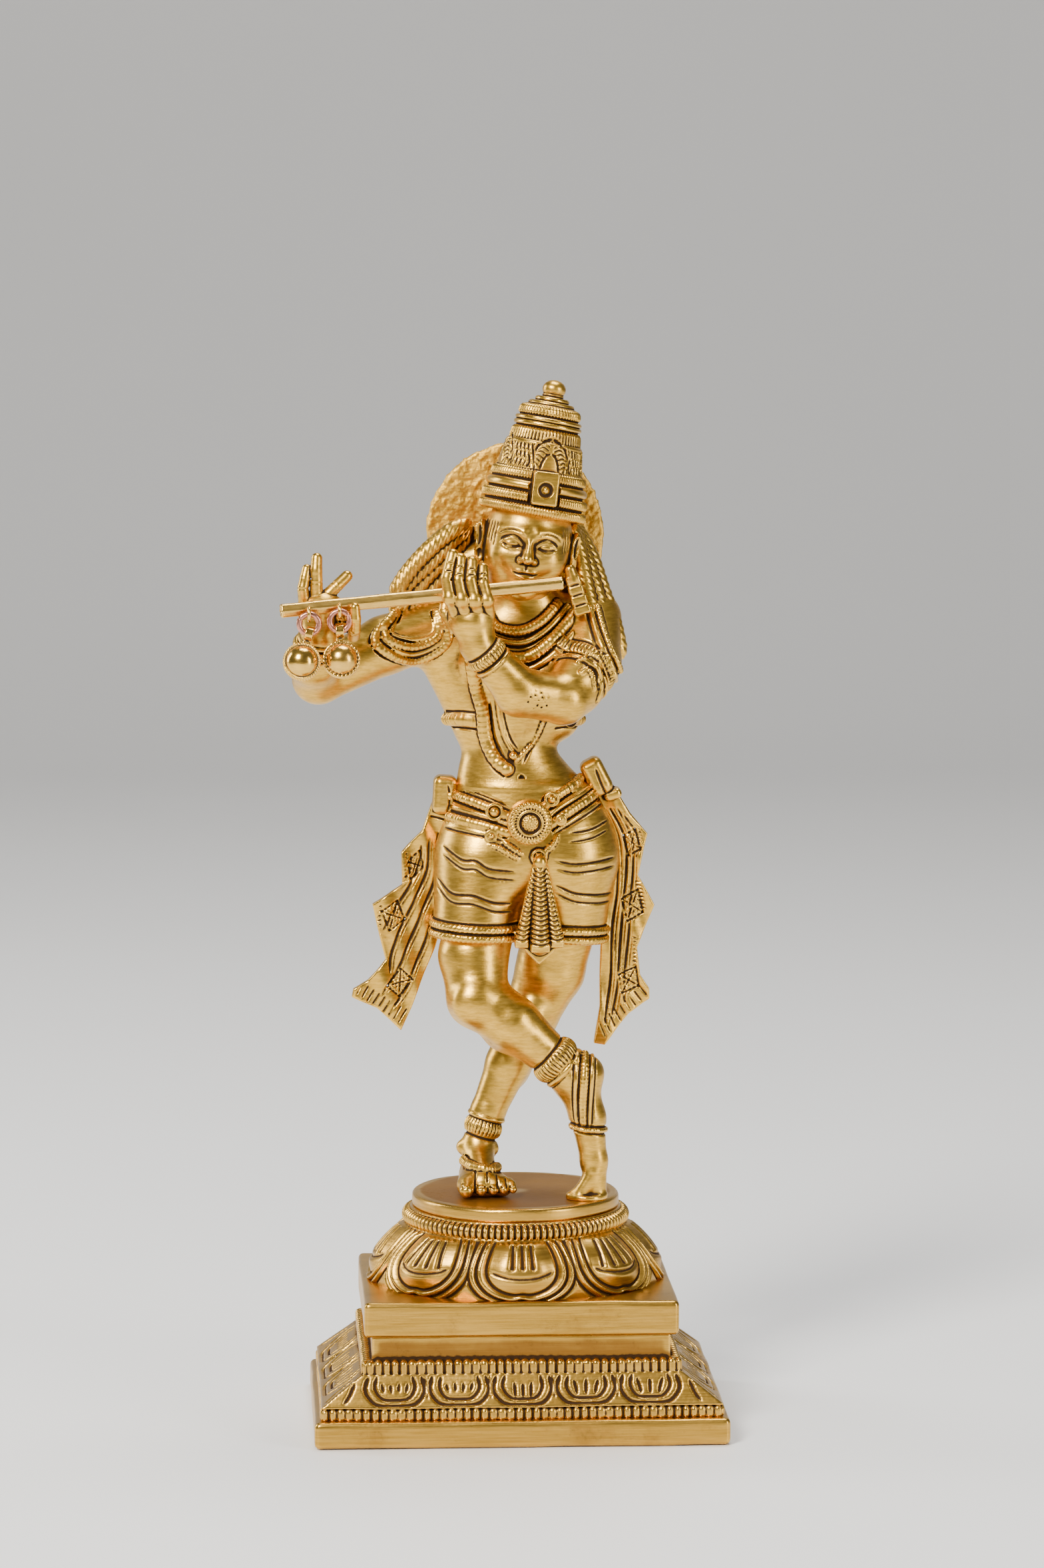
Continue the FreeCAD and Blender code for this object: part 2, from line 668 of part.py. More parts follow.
def print_axes():
    """The joint axes, for the record."""
    for name in BELLS:
        place = bell_place(name)
        hole = ring_hole(name)
        pivot = hole - Vector(0, 0, 2 * size("ring_radius"))
        face = place.Rotation.multVec(Vector(0, 0, 1))
        print(name, "eyelet", tuple(hole), "pivot", tuple(pivot), "bell", tuple(place.Base), "face", tuple(face))


def build():
    fill_sheet()
    lower_plinth()
    lotus_pedestal()
    foot_disc()
    clamp()
    hips = node("hips", body_loft("hips", HIP_SECTIONS))
    torso = node("torso", body_loft("torso", TORSO_SECTIONS))
    sole_trim = below_disc_top()
    standing_leg(hips, sole_trim)
    crossing_leg(hips, sole_trim)
    flute_piece = flute()
    crown_piece = crown()
    head_piece = head(torso, crown_piece, flute_piece)
    halo(head_piece, crown_piece)
    left = left_arm(torso, flute_piece)
    right_arm(torso, flute_piece)
    ear_drop("left", head_piece, torso, [flute_piece, left])
    ear_drop("right", head_piece, torso, [flute_piece, left])
    sash("right", RIGHT_SASH_OUTLINE, hips, torso)
    sash("left", LEFT_SASH_OUTLINE, hips, torso)
    waist(hips)
    eyelets(flute_piece)
    for name in BELLS:
        bell(name)
    doc.recompute()


def check():
    """Stops on any failed object or bad shape, before a file is written."""
    for piece in doc.Objects:
        if "Invalid" in piece.State or "Error" in piece.State:
            raise SystemExit("failed object: %s %s" % (piece.Name, piece.State))
    for piece in nodes:
        if piece.Shape.isNull() or not piece.Shape.isValid():
            raise SystemExit("bad shape: " + piece.Label)
        if not piece.Shape.Solids:
            raise SystemExit("no solid: " + piece.Label)


def write():
    os.makedirs("parts", exist_ok=True)
    for piece in nodes:
        piece.Shape.exportStep(os.path.join("parts", piece.Label + ".step"))
        print("%-22s solids %d volume %8.1f" % (piece.Label, len(piece.Shape.Solids), piece.Shape.Volume))


build()
check()
write()
print_axes()
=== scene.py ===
import math

import bpy
import numpy as np
import openvdb
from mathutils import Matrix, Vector


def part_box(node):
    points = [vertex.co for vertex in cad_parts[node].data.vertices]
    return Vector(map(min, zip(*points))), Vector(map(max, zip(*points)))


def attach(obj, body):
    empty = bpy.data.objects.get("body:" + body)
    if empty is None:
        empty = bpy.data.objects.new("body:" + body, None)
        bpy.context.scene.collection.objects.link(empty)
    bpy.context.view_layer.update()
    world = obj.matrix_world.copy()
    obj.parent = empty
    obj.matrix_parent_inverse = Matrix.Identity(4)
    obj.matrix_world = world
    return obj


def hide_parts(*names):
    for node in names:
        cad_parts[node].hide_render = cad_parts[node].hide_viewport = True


# The looks of a brass flute player on a lotus base. Each casting is modelled as clay: signed
# distances in millimetres on a grid, to which forms are added and from which lines are cut, and
# which is then meshed. The frame is the CAD's: +Z up, front towards -Y.

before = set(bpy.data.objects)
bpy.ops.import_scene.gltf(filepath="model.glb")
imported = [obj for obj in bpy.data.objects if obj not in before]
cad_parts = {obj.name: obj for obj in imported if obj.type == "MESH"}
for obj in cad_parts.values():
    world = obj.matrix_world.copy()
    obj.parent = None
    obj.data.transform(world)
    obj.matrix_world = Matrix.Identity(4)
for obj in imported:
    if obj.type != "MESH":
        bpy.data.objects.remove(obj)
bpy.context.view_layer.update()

MM = 0.001
FAR = 4.0
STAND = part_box("foot_disc")[1].z / MM


# ---------------------------------------------------------------- clay

def smooth_min(a, b, k):
    """Union of two distances with a fillet of about k mm."""
    if k <= 0:
        return np.minimum(a, b)
    h = np.clip(0.5 + 0.5 * (b - a) / k, 0, 1)
    return b + (a - b) * h - k * h * (1 - h)


def smooth_max(a, b, k):
    return -smooth_min(-a, -b, k)


def smooth_step(low, high, value):
    t = np.clip((value - low) / (high - low), 0, 1)
    return t * t * (3 - 2 * t)


class Clay:
    """Signed distances in mm on a grid between two corners."""

    def __init__(self, low, high, voxel):
        self.low = np.array(low, float)
        self.voxel = voxel
        count = np.ceil((np.array(high, float) - self.low) / voxel).astype(int) + 1
        self.axes = [(self.low[i] + voxel * np.arange(count[i])).astype(np.float32) for i in range(3)]
        self.d = np.full(tuple(count), FAR, np.float32)
        self.whole = None

    def window(self, low, high):
        """Slices of the grid between two corners, and the open coordinates there."""
        first = np.maximum(np.floor((np.array(low) - self.low) / self.voxel).astype(int), 0)
        last = np.minimum(np.ceil((np.array(high) - self.low) / self.voxel).astype(int) + 1, self.d.shape)
        if np.any(last <= first):
            return None, None
        cut = tuple(slice(a, b) for a, b in zip(first, last))
        xyz = np.ix_(*[self.axes[i][cut[i]] for i in range(3)])
        return cut, xyz

    def everywhere(self):
        return np.ix_(*self.axes)

    def add(self, form, blend=0.0):
        """Adds a form: (field, low corner, high corner)."""
        field, low, high = form
        reach = FAR if blend <= 0 else max(1.5, 1.2 * blend)
        cut, xyz = self.window(np.array(low) - reach, np.array(high) + reach)
        if cut is not None:
            self.d[cut] = smooth_min(self.d[cut], field(*xyz).astype(np.float32), blend)
        return self

    def carve(self, form, blend=0.0):
        field, low, high = form
        reach = max(1.0, blend)
        cut, xyz = self.window(np.array(low) - reach, np.array(high) + reach)
        if cut is not None:
            self.d[cut] = smooth_max(self.d[cut], -field(*xyz).astype(np.float32), blend)
        return self

    def trim(self, field, blend=0.0):
        """Keeps only what is inside the field, over the whole grid."""
        self.d = smooth_max(self.d, field(*self.everywhere()).astype(np.float32), blend)
        return self

    def sample(self, points):
        """Distances at points, by trilinear interpolation; outside the grid, at least the way to it."""
        asked = (np.asarray(points, float) - self.low) / self.voxel
        at = np.clip(asked, 0, np.array(self.d.shape) - 1.001)
        outside = np.linalg.norm(asked - at, axis=1) * self.voxel
        base = at.astype(int)
        f = at - base
        total = 0.0
        for i in (0, 1):
            for j in (0, 1):
                for k in (0, 1):
                    weight = (f[:, 0] if i else 1 - f[:, 0]) * (f[:, 1] if j else 1 - f[:, 1])
                    weight = weight * (f[:, 2] if k else 1 - f[:, 2])
                    total = total + weight * self.d[base[:, 0] + i, base[:, 1] + j, base[:, 2] + k]
        return np.where(outside > 0.01, np.maximum(outside, 0.3), total)

    def drape(self, points, toward=(0, 1, 0), reach=90.0, sink=0.0):
        """Points moved along a direction onto the clay's surface; those that miss it are left out."""
        toward = np.array(toward, float)
        toward /= np.linalg.norm(toward)
        out = np.array(points, float)
        travelled = np.zeros(len(out))
        for _ in range(300):
            gap = self.sample(out)
            step = np.where(gap > 0.02, np.clip(gap * 0.7, 0.04, 2.5), 0.0)
            step = np.where(travelled > reach, 0.0, step)
            out += toward * step[:, None]
            travelled += step
            if step.max() == 0:
                break
        return out[travelled <= reach] + toward * sink

    def girdle(self, centre, normal, count=120, reach=40.0, sink=0.0):
        """A band round the clay: the surface's points in the plane through centre with a normal."""
        normal = np.array(normal, float) / np.linalg.norm(normal)
        side = np.cross([0, 0, 1], normal) if abs(normal[2]) < 0.9 else np.cross([0, 1, 0], normal)
        side /= np.linalg.norm(side)
        other = np.cross(normal, side)
        angles = np.radians(np.linspace(0.0, 360.0, count))
        rays = np.cos(angles)[:, None] * side + np.sin(angles)[:, None] * other
        steps = np.linspace(0.5, reach, 100)
        found = np.full(count, reach)
        for step in steps[::-1]:
            inside = self.sample(centre + rays * step) < 0
            found = np.where(inside & (found == reach), step, found)
        # rays that meet no clay, as over the gap between the legs, bridge from their neighbours
        met = found < reach
        found = np.interp(np.arange(count), np.arange(count)[met], found[met])
        low, high = found - 0.1, np.minimum(found + steps[1] - steps[0] + 0.1, reach)
        for _ in range(12):
            middle = (low + high) / 2
            inside = self.sample(centre + rays * middle[:, None]) < 0
            low, high = np.where(inside, middle, low), np.where(inside, high, middle)
        return centre + rays * (low - sink)[:, None]


def box_mean(values, radius):
    """Mean over a cube of 2 radius + 1 cells, edges repeated."""
    out = values
    for axis in range(3):
        pad = [(0, 0)] * 3
        pad[axis] = (radius + 1, radius)
        total = np.cumsum(np.pad(out, pad, mode="edge"), axis=axis, dtype=np.float64)
        ahead = np.take(total, np.arange(2 * radius + 1, total.shape[axis]), axis=axis)
        behind = np.take(total, np.arange(0, total.shape[axis] - 2 * radius - 1), axis=axis)
        out = ((ahead - behind) / (2 * radius + 1)).astype(np.float32)
    return out


# ---------------------------------------------------------------- forms: (field, low, high)

def ball(centre, radius):
    c = np.array(centre, float)

    def field(x, y, z):
        return np.sqrt((x - c[0]) ** 2 + (y - c[1]) ** 2 + (z - c[2]) ** 2) - radius
    return field, c - radius, c + radius


def turned(rotation, centre, x, y, z):
    """Coordinates about a centre in a frame whose axes are the rotation's rows."""
    x, y, z = x - centre[0], y - centre[1], z - centre[2]
    return [row[0] * x + row[1] * y + row[2] * z for row in rotation]


def axes_from(up, front=(0, -1, 0)):
    """Rows: side, front and up, square to each other, with up kept."""
    up = np.array(up, float) / np.linalg.norm(up)
    side = np.cross(np.array(front, float), up)
    side /= np.linalg.norm(side)
    return np.array([side, np.cross(up, side), up])


def egg(centre, radii, rotation=None):
    """An ellipsoid; radii are along the rotation's rows (side, front, up)."""
    rotation = np.eye(3) if rotation is None else rotation
    a, b, c = radii

    def field(x, y, z):
        u, v, w = turned(rotation, centre, x, y, z)
        k0 = np.sqrt((u / a) ** 2 + (v / b) ** 2 + (w / c) ** 2)
        k1 = np.sqrt((u / a ** 2) ** 2 + (v / b ** 2) ** 2 + (w / c ** 2) ** 2)
        return k0 * (k0 - 1) / np.maximum(k1, 1e-6)
    reach = max(radii)
    return field, np.array(centre) - reach, np.array(centre) + reach


def brick(centre, half, rounding=0.3, rotation=None):
    """A box with rounded edges; half sizes are along the rotation's rows."""
    rotation = np.eye(3) if rotation is None else rotation
    h = np.array(half, float) - rounding

    def field(x, y, z):
        parts = [np.abs(v) - h[i] for i, v in enumerate(turned(rotation, centre, x, y, z))]
        outside = np.sqrt(sum(np.maximum(p, 0) ** 2 for p in parts))
        inside = np.minimum(np.maximum(parts[0], np.maximum(parts[1], parts[2])), 0)
        return outside + inside - rounding
    reach = np.linalg.norm(half)
    return field, np.array(centre) - reach, np.array(centre) + reach


def disc(centre, radius, half_height, axis=(0, 0, 1), rounding=0.3):
    rotation = axes_from(axis, (0, -1, 0) if abs(axis[1]) < 0.9 else (1, 0, 0))

    def field(x, y, z):
        u, v, w = turned(rotation, centre, x, y, z)
        p = np.sqrt(u * u + v * v) - radius + rounding
        q = np.abs(w) - half_height + rounding
        return np.sqrt(np.maximum(p, 0) ** 2 + np.maximum(q, 0) ** 2) + \
                       np.minimum(np.maximum(p, q), 0) - rounding
    reach = math.hypot(radius, half_height)
    return field, np.array(centre) - reach, np.array(centre) + reach


def bone(a, b, ra, rb):
    """A rounded, tapered rod."""
    a, b = np.array(a, float), np.array(b, float)
    ab = b - a
    length2 = float(ab @ ab)

    def field(x, y, z):
        dx, dy, dz = x - a[0], y - a[1], z - a[2]
        t = np.clip((dx * ab[0] + dy * ab[1] + dz * ab[2]) / length2, 0, 1)
        r = ra + (rb - ra) * t
        return np.sqrt((dx - t * ab[0]) ** 2 + (dy - t * ab[1]) ** 2 + (dz - t * ab[2]) ** 2) - r
    r = max(ra, rb)
    return field, np.minimum(a, b) - r, np.maximum(a, b) + r


RING_MARGIN = 0.2


def ring(centre, radius, wire, axis=(0, 0, 1)):
    """A torus round an axis."""
    rotation = axes_from(axis, (0, -1, 0) if abs(axis[1]) < 0.9 else (1, 0, 0))

    def field(x, y, z):
        u, v, w = turned(rotation, centre, x, y, z)
        q = np.sqrt(u * u + v * v) - radius
        return np.sqrt(q * q + w ** 2) - wire
    reach = radius + wire + RING_MARGIN
    return field, np.array(centre) - reach, np.array(centre) + reach


def curve(points, step=0.5):
    """A smooth curve through points, sampled about every step mm."""
    p = np.array(points, float)
    p = np.vstack([2 * p[0] - p[1], p, 2 * p[-1] - p[-2]])
    out = []
    for i in range(1, len(p) - 2):
        n = max(2, int(np.linalg.norm(p[i + 1] - p[i]) / step))
        t = np.linspace(0, 1, n, endpoint=False)[:, None]
        out.append(0.5 * (2 * p[i] + (p[i + 1] - p[i - 1]) * t
                          + (2 * p[i - 1] - 5 * p[i] + 4 * p[i + 1] - p[i + 2]) * t ** 2
                          + (3 * p[i] - p[i - 1] - 3 * p[i + 1] + p[i + 2]) * t ** 3))
    out.append(p[-2][None])
    return np.vstack(out)


def trace(clay, points, radius, blend=0.0, cut=False, pitch=0.0, depth=0.0, slant=0.0, taper=0.0, flat=1.0,
          outward=(0, -1, 0)):
    """Lays a cord along a curve on the clay, or cuts one. Ribs repeat every pitch mm along it,
    leaning by slant; taper thins both ends over that many mm; flat under 1 lowers it."""
    p = np.asarray(points, float)
    length = np.concatenate([[0], np.cumsum(np.linalg.norm(np.diff(p, axis=0), axis=1))])
    margin = radius + depth + max(blend, 0.6) + clay.voxel
    whole, _ = clay.window(p.min(0) - margin, p.max(0) + margin)
    if whole is None:
        return
    cord = np.full(clay.d[whole].shape, FAR, np.float32)
    first = np.array([s.start for s in whole])
    out = np.array(outward, float) / np.linalg.norm(outward)
    for i in range(len(p) - 1):
        a, b = p[i], p[i + 1]
        ab = b - a
        size2 = float(ab @ ab)
        if size2 < 1e-9:
            continue
        cut_i, xyz = clay.window(np.minimum(a, b) - margin, np.maximum(a, b) + margin)
        if cut_i is None:
            continue
        local = tuple(slice(max(s.start - f, 0), max(s.stop - f, 0)) for s, f in zip(cut_i, first))
        x, y, z = xyz
        dx, dy, dz = x - a[0], y - a[1], z - a[2]
        t = np.clip((dx * ab[0] + dy * ab[1] + dz * ab[2]) / size2, 0, 1)
        ex, ey, ez = dx - t * ab[0], dy - t * ab[1], dz - t * ab[2]
        s = length[i] + t * math.sqrt(size2)
        r = radius
        if taper > 0:
            r = radius * np.sqrt(np.clip(np.minimum(s, length[-1] - s) / taper, 0.02, 1))
        if flat != 1.0:
            lift = ex * out[0] + ey * out[1] + ez * out[2]
            gap2 = ex * ex + ey * ey + ez * ez + lift * lift * (1 / flat ** 2 - 1)
            d = np.sqrt(np.maximum(gap2, 0)) - r
        else:
            d = np.sqrt(ex * ex + ey * ey + ez * ez) - r
        if pitch > 0:
            side = np.cross(ab, out)
            side /= max(np.linalg.norm(side), 1e-9)
            across = ex * side[0] + ey * side[1] + ez * side[2]
            d = d + depth * (1 - np.abs(np.cos(math.pi * (s + slant * across) / pitch)) * 1.6)
        cord[local] = np.minimum(cord[local], d)
    if cut:
        clay.d[whole] = smooth_max(clay.d[whole], -cord, blend)
    else:
        clay.d[whole] = smooth_min(clay.d[whole], cord, blend)


# ---------------------------------------------------------------- noise

def hashed(ix, iy, iz, seed):
    n = (ix * 374761393 + iy * 668265263 + iz * 2147483647 + seed * 974711) & 0xFFFFFFFF
    n = ((n ^ (n >> 13)) * 1274126177) & 0xFFFFFFFF
    return ((n ^ (n >> 16)) & 0xFFFF) / 65535.0


def noise(points, scale, seed=0):
    """Value noise from -1 to 1 with features of about scale mm."""
    p = np.asarray(points) / scale
    base = np.floor(p).astype(np.int64)
    f = p - base
    f = f * f * (3 - 2 * f)
    total = 0.0
    for i in (0, 1):
        for j in (0, 1):
            for k in (0, 1):
                weight = (f[:, 0] if i else 1 - f[:, 0]) * (f[:, 1] if j else 1 - f[:, 1])
                weight = weight * (f[:, 2] if k else 1 - f[:, 2])
                total = total + weight * hashed(base[:, 0] + i, base[:, 1] + j, base[:, 2] + k, seed)
    return total * 2 - 1


# ---------------------------------------------------------------- meshes from clay

PIECES = []


def to_mesh(
    clay,
    name,
    body="root",
    finish="cast_brass",
    rough=0.0,
    rough_scale=1.0,
    wave=0.0,
    smooth=2,
    adapt=0.0,
     added_shade_and_oxide=None):
    """Meshes the clay and keeps, per vertex, how deep it lies in a hollow (fine and broad)."""
    grid = openvdb.FloatGrid(background=FAR)
    grid.copyFromArray(np.ascontiguousarray(np.clip(clay.d, -FAR, FAR)))
    points, tris, quads = grid.convertToPolygons(isovalue=0.0, adaptivity=adapt)
    at = points.astype(np.float64)
    place = at * clay.voxel + clay.low
    shape = clay.d if clay.whole is None else clay.whole
    solid = np.clip(0.5 - shape / clay.voxel, 0, 1)
    fine = sample_grid(box_mean(solid, max(1, round(0.7 / clay.voxel))), at)
    broad = sample_grid(box_mean(solid, max(2, round(2.2 / clay.voxel))), at)
    # pieces under an overhang add painted shade, with oxide, to broad here
    if added_shade_and_oxide is not None:
        broad = broad + added_shade_and_oxide(place)
    mesh = bpy.data.meshes.new(name)
    loops = np.concatenate([tris.ravel(), quads.ravel()]).astype(np.int32)
    starts = np.concatenate([np.arange(len(tris)) * 3, len(tris) * 3 + \
                            np.arange(len(quads)) * 4]).astype(np.int32)
    mesh.vertices.add(len(place))
    mesh.vertices.foreach_set("co", (place * MM).ravel())
    mesh.loops.add(len(loops))
    mesh.loops.foreach_set("vertex_index", loops)
    mesh.polygons.add(len(starts))
    mesh.polygons.foreach_set("loop_start", starts)
    mesh.update(calc_edges=True)
    mesh.validate()
    mesh.flip_normals()
    if smooth:
        place = relax(mesh, place, smooth)
    if rough > 0:
        normals = np.zeros(len(place) * 3, np.float32)
        mesh.vertices.foreach_set("co", (place * MM).ravel())
        mesh.update()
        mesh.vertices.foreach_get("normal", normals)
        bumps = noise(place, rough_scale, 3) + 0.5 * noise(place, rough_scale * 0.45, 7)
        place = place + normals.reshape(-1, 3) * (bumps * rough)[:, None]
    if wave > 0:
        place = place + wave * np.stack([noise(place, 13.0, seed) for seed in (11, 12, 13)], axis=1)
    mesh.vertices.foreach_set("co", (place * MM).ravel())
    for key, values in (("fine", fine), ("broad", broad)):
        layer = mesh.attributes.new(key, "FLOAT", "POINT")
        layer.data.foreach_set("value", values.astype(np.float32))
    mesh.polygons.foreach_set("use_smooth", np.ones(len(mesh.polygons), bool))
    mesh.update()
    thing = bpy.data.objects.new(name, mesh)
    bpy.context.scene.collection.objects.link(thing)
    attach(thing, body)
    thing["finish"] = finish
    PIECES.append(thing)
    print("piece", name, "faces", len(starts))
    return thing


def sample_grid(values, at):
    """Trilinear values of a grid at fractional indices."""
    at = np.clip(at, 0, np.array(values.shape) - 1.001)
    base = at.astype(int)
    f = at - base
    total = 0.0
    for i in (0, 1):
        for j in (0, 1):
            for k in (0, 1):
                weight = (f[:, 0] if i else 1 - f[:, 0]) * (f[:, 1] if j else 1 - f[:, 1])
                weight = weight * (f[:, 2] if k else 1 - f[:, 2])
                total = total + weight * values[base[:, 0] + i, base[:, 1] + j, base[:, 2] + k]
    return total


def relax(mesh, place, rounds):
    """A light smoothing that keeps volume: each round moves in, then back out."""
    edges = np.zeros(len(mesh.edges) * 2, np.int32)
    mesh.edges.foreach_get("vertices", edges)
    a, b = edges[0::2], edges[1::2]
    count = np.bincount(edges, minlength=len(place)).astype(float)
    count[count == 0] = 1
    for _ in range(rounds):
        for weight in (0.5, -0.52):
            total = np.zeros_like(place)
            for axis in range(3):
                total[:, axis] = (np.bincount(a, place[b, axis], len(place))
                                  + np.bincount(b, place[a, axis], len(place)))
            place = place + weight * (total / count[:, None] - place)
    return place


# ---------------------------------------------------------------- base

PLINTH_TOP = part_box("lower_plinth")[1].z / MM
PLINTH_HALF = (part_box("lower_plinth")[1].x / MM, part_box("lower_plinth")[1].y / MM)
PEDESTAL_HALF = (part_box("lotus_pedestal")[1].x / MM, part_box("lotus_pedestal")[1].y / MM)
DISC_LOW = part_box("foot_disc")[0].z / MM
DISC_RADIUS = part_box("foot_disc")[1].x / MM
SLAB_TOP = 7.8
LOW_BEAD_TOP = 11.4
SLOPE_TOP = 20.1
HIGH_BEAD_TOP = 24.5
LOW_HALF = (PLINTH_HALF[0] - 1.6, PLINTH_HALF[1] - 1.6)
HIGH_HALF = (LOW_HALF[0] - 12.0, LOW_HALF[1] - 4.2)
NECK_HALF = (HIGH_HALF[0] - 3.2, HIGH_HALF[1] - 3.2)
PEDESTAL_SLAB_TOP = PLINTH_TOP + 10.2
LOTUS_TOP = PEDESTAL_SLAB_TOP + 16.7
LOTUS_RADII = (45.2, 34.0)
BEAD_RING_RADIUS = 32.8
PETALS = 8


def frustum(low_half, high_half, z_low, z_high):
    """A four-sided frustum; outside is positive."""
    rise = z_high - z_low
    lean = [math.atan2(low_half[i] - high_half[i], rise) for i in (0, 1)]

    def field(x, y, z):
        t = (z - z_low) / rise
        across = [low_half[i] + (high_half[i] - low_half[i]) * t for i in (0, 1)]
        d = np.maximum((np.abs(x) - across[0]) * math.cos(lean[0]),
                       (np.abs(y) - across[1]) * math.cos(lean[1]))
        return np.maximum(d, np.maximum(z - z_high, z_low - z))
    wide = np.maximum(low_half, high_half)
    return field, (-wide[0], -wide[1], z_low), (wide[0], wide[1], z_high)


def bead_row(half, z_low, z_high, pitch, depth, seed):
    """A roll round a rectangle, cut across into hand-made beads."""
    middle = (z_low + z_high) / 2
    roll = brick((0, 0, middle), (half[0], half[1], (z_high - z_low) / 2), 1.3)

    def field(x, y, z):
        d = roll[0](x, y, z)
        along = np.where(np.abs(y) - half[1] > np.abs(x) - half[0], x, y)
        index = np.round(along / pitch)
        shift = 0.22 * np.sin(index * 12.9898 + seed) * pitch
        gap = along - index * pitch - shift * 0.6
        strength = 0.75 + 0.25 * np.sin(index * 7.31 + seed)
        narrow = 0.34 + 0.22 * np.abs(z - middle) / (z_high - z_low)
        return d + depth * strength * np.exp(-(gap / narrow) ** 2)
    return field, roll[1], roll[2]


def slope_point(face, along, z):
    """A point on the plinth's slope: face 0 front, 1 right, 2 back, 3 left."""
    t = (z - LOW_BEAD_TOP) / (SLOPE_TOP - LOW_BEAD_TOP)
    x_out = LOW_HALF[0] + (HIGH_HALF[0] - LOW_HALF[0]) * t
    y_out = LOW_HALF[1] + (HIGH_HALF[1] - LOW_HALF[1]) * t
    return [(along, -y_out, z), (x_out, along, z), (-along, y_out, z), (-x_out, -along, z)][face]


def slope_line(clay, face, points, radius=0.5, depth=0.1):
    flat = curve([(a, z, 0) for a, z in points], step=0.6)
    normal = [(0, -1, 0.48), (1, 0, 1.38), (0, 1, 0.48), (-1, 0, 1.38)][face]
    normal = np.array(normal) / np.linalg.norm(normal)
    line = np.array([slope_point(face, a, z) for a, z, _ in flat]) - normal * depth
    trace(clay, line, radius, 0.25, cut=True, taper=1.6)


def slope_petals(clay, face, count, spacing):
    """Each petal is a wide U round a narrow U, with a few short cuts inside."""
    for index in range(count):
        middle = (index - (count - 1) / 2) * spacing
        wide = 0.46 * spacing
        narrow = 0.31 * spacing
        lean = 0.4 * math.sin(index * 2.1 + face)
        for half, bottom in ((wide, 12.5), (narrow, 14.0)):
            outline = [(middle - half * 0.9, SLOPE_TOP), (middle - \
                        half + lean * 0.4, (SLOPE_TOP + bottom) / 2)]
            outline += [(middle - half * 0.64, bottom + 0.4), (middle + lean, bottom)]
            outline += [(middle + half * 0.66, bottom + 0.4),
                         (middle + half + lean * 0.3, (SLOPE_TOP + bottom) / 2)]
            outline += [(middle + half * 0.9, SLOPE_TOP)]
            slope_line(clay, face, outline, 0.6 if half == wide else 0.5, 0.1)
        late = index > count // 2
        length = 4.6 if index >= count // 2 else 2.6
        marks = (-1, 0, 1) if index >= count // 2 else (-1.5, -0.5, 0.5, 1.5)
        for mark in marks:
            top = 19.2 if late else 18.4
            foot = middle + mark * narrow * (0.5 if late else 0.4)
            slope_line(clay, face, [(foot + mark * (0.9 if late else 0.2), top),
                       (foot, top - length * 0.6), (foot - mark * 0.2, top - length)], 0.42, 0.2)
        if index < count - 1:
            between = middle + spacing / 2
            slope_line(clay, face, [(between - 0.6, SLOPE_TOP),
                       (between - 0.2, 16.5), (between, 14.0)], 0.4, 0.1)


def hollow(clay):
    """The space under the plinth, and the stud's hole."""
    wall = 5.5
    top_half = (NECK_HALF[0] - wall, NECK_HALF[1] - wall)
    ceiling = PLINTH_TOP - 7.2
    lift = 1.0
    field = frustum((LOW_HALF[0] - wall, LOW_HALF[1] - wall), top_half, 0, ceiling)[0]
    clay.carve((lambda x, y, z: field(x, y, np.maximum(z, lift)), (-60, -44, -1), (60, 44, ceiling)), 0.5)
    clay.carve(disc((0, 0, 28), 3.4, 6.0))


def neck_shade_and_oxide(place):
    """Painted shade under the pedestal's overhang on the neck above the beads, together with the oxide that
    stays there unrubbed.
    """
    return 0.16 * smooth_step(HIGH_BEAD_TOP - 0.6, HIGH_BEAD_TOP + 0.6, place[:, 2])


def make_plinth():
    x, y = PLINTH_HALF
    slab = Clay((-x - 1, -y - 1, -1), (x + 1, y + 1, SLAB_TOP + 1), 0.6)
    slab.add(brick((0, 0, SLAB_TOP / 2), (x, y, SLAB_TOP / 2), 1.5))
    hollow(slab)
    piece = to_mesh(slab, "plinth_slab", finish="base_brass", smooth=1, wave=0.16)
    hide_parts("lower_plinth")

    tiers = Clay((-x - 1, -y - 1, SLAB_TOP - 1.5), (x + 1, y + 1, PLINTH_TOP + 1), 0.38)
    tiers.add(bead_row(LOW_HALF, SLAB_TOP - 0.3, LOW_BEAD_TOP, 2.42, 0.95, 1.0))
    tiers.add(brick((0, 0, SLAB_TOP + 1.6), (LOW_HALF[0] - 1.2, LOW_HALF[1] - 1.2, 1.8), 0.3))
    tiers.add(frustum(LOW_HALF, HIGH_HALF, LOW_BEAD_TOP, SLOPE_TOP + 0.4), 0.2)
    tiers.add(bead_row(HIGH_HALF, SLOPE_TOP - 0.2, HIGH_BEAD_TOP, 2.5, 1.0, 4.0), 0.2)
    tiers.add(brick((0, 0, (SLOPE_TOP + PLINTH_TOP) / 2),
              (NECK_HALF[0], NECK_HALF[1], (PLINTH_TOP - SLOPE_TOP) / 2), 0.5), 0.3)
    for face, count, spacing in ((0, 5, 18.4), (1, 3, 22.0), (2, 5, 18.4), (3, 3, 22.0)):
        slope_petals(tiers, face, count, spacing)
        reach = (count - 1) / 2 * spacing + spacing * 0.62
        for side in (-1, 1):
            slope_line(tiers, face, [(side * reach, 18.6),
                       (side * (reach + 1.6), 15.0), (side * (reach + 3.4), 12.6)])
    hollow(tiers)
    # the neck's oxide value also carries painted shade under the pedestal's overhang
    piece = to_mesh(tiers, "plinth_tiers", finish="base_brass", smooth=1, wave=0.18, added_shade_and_oxide=neck_shade_and_oxide)
    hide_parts("lower_plinth")


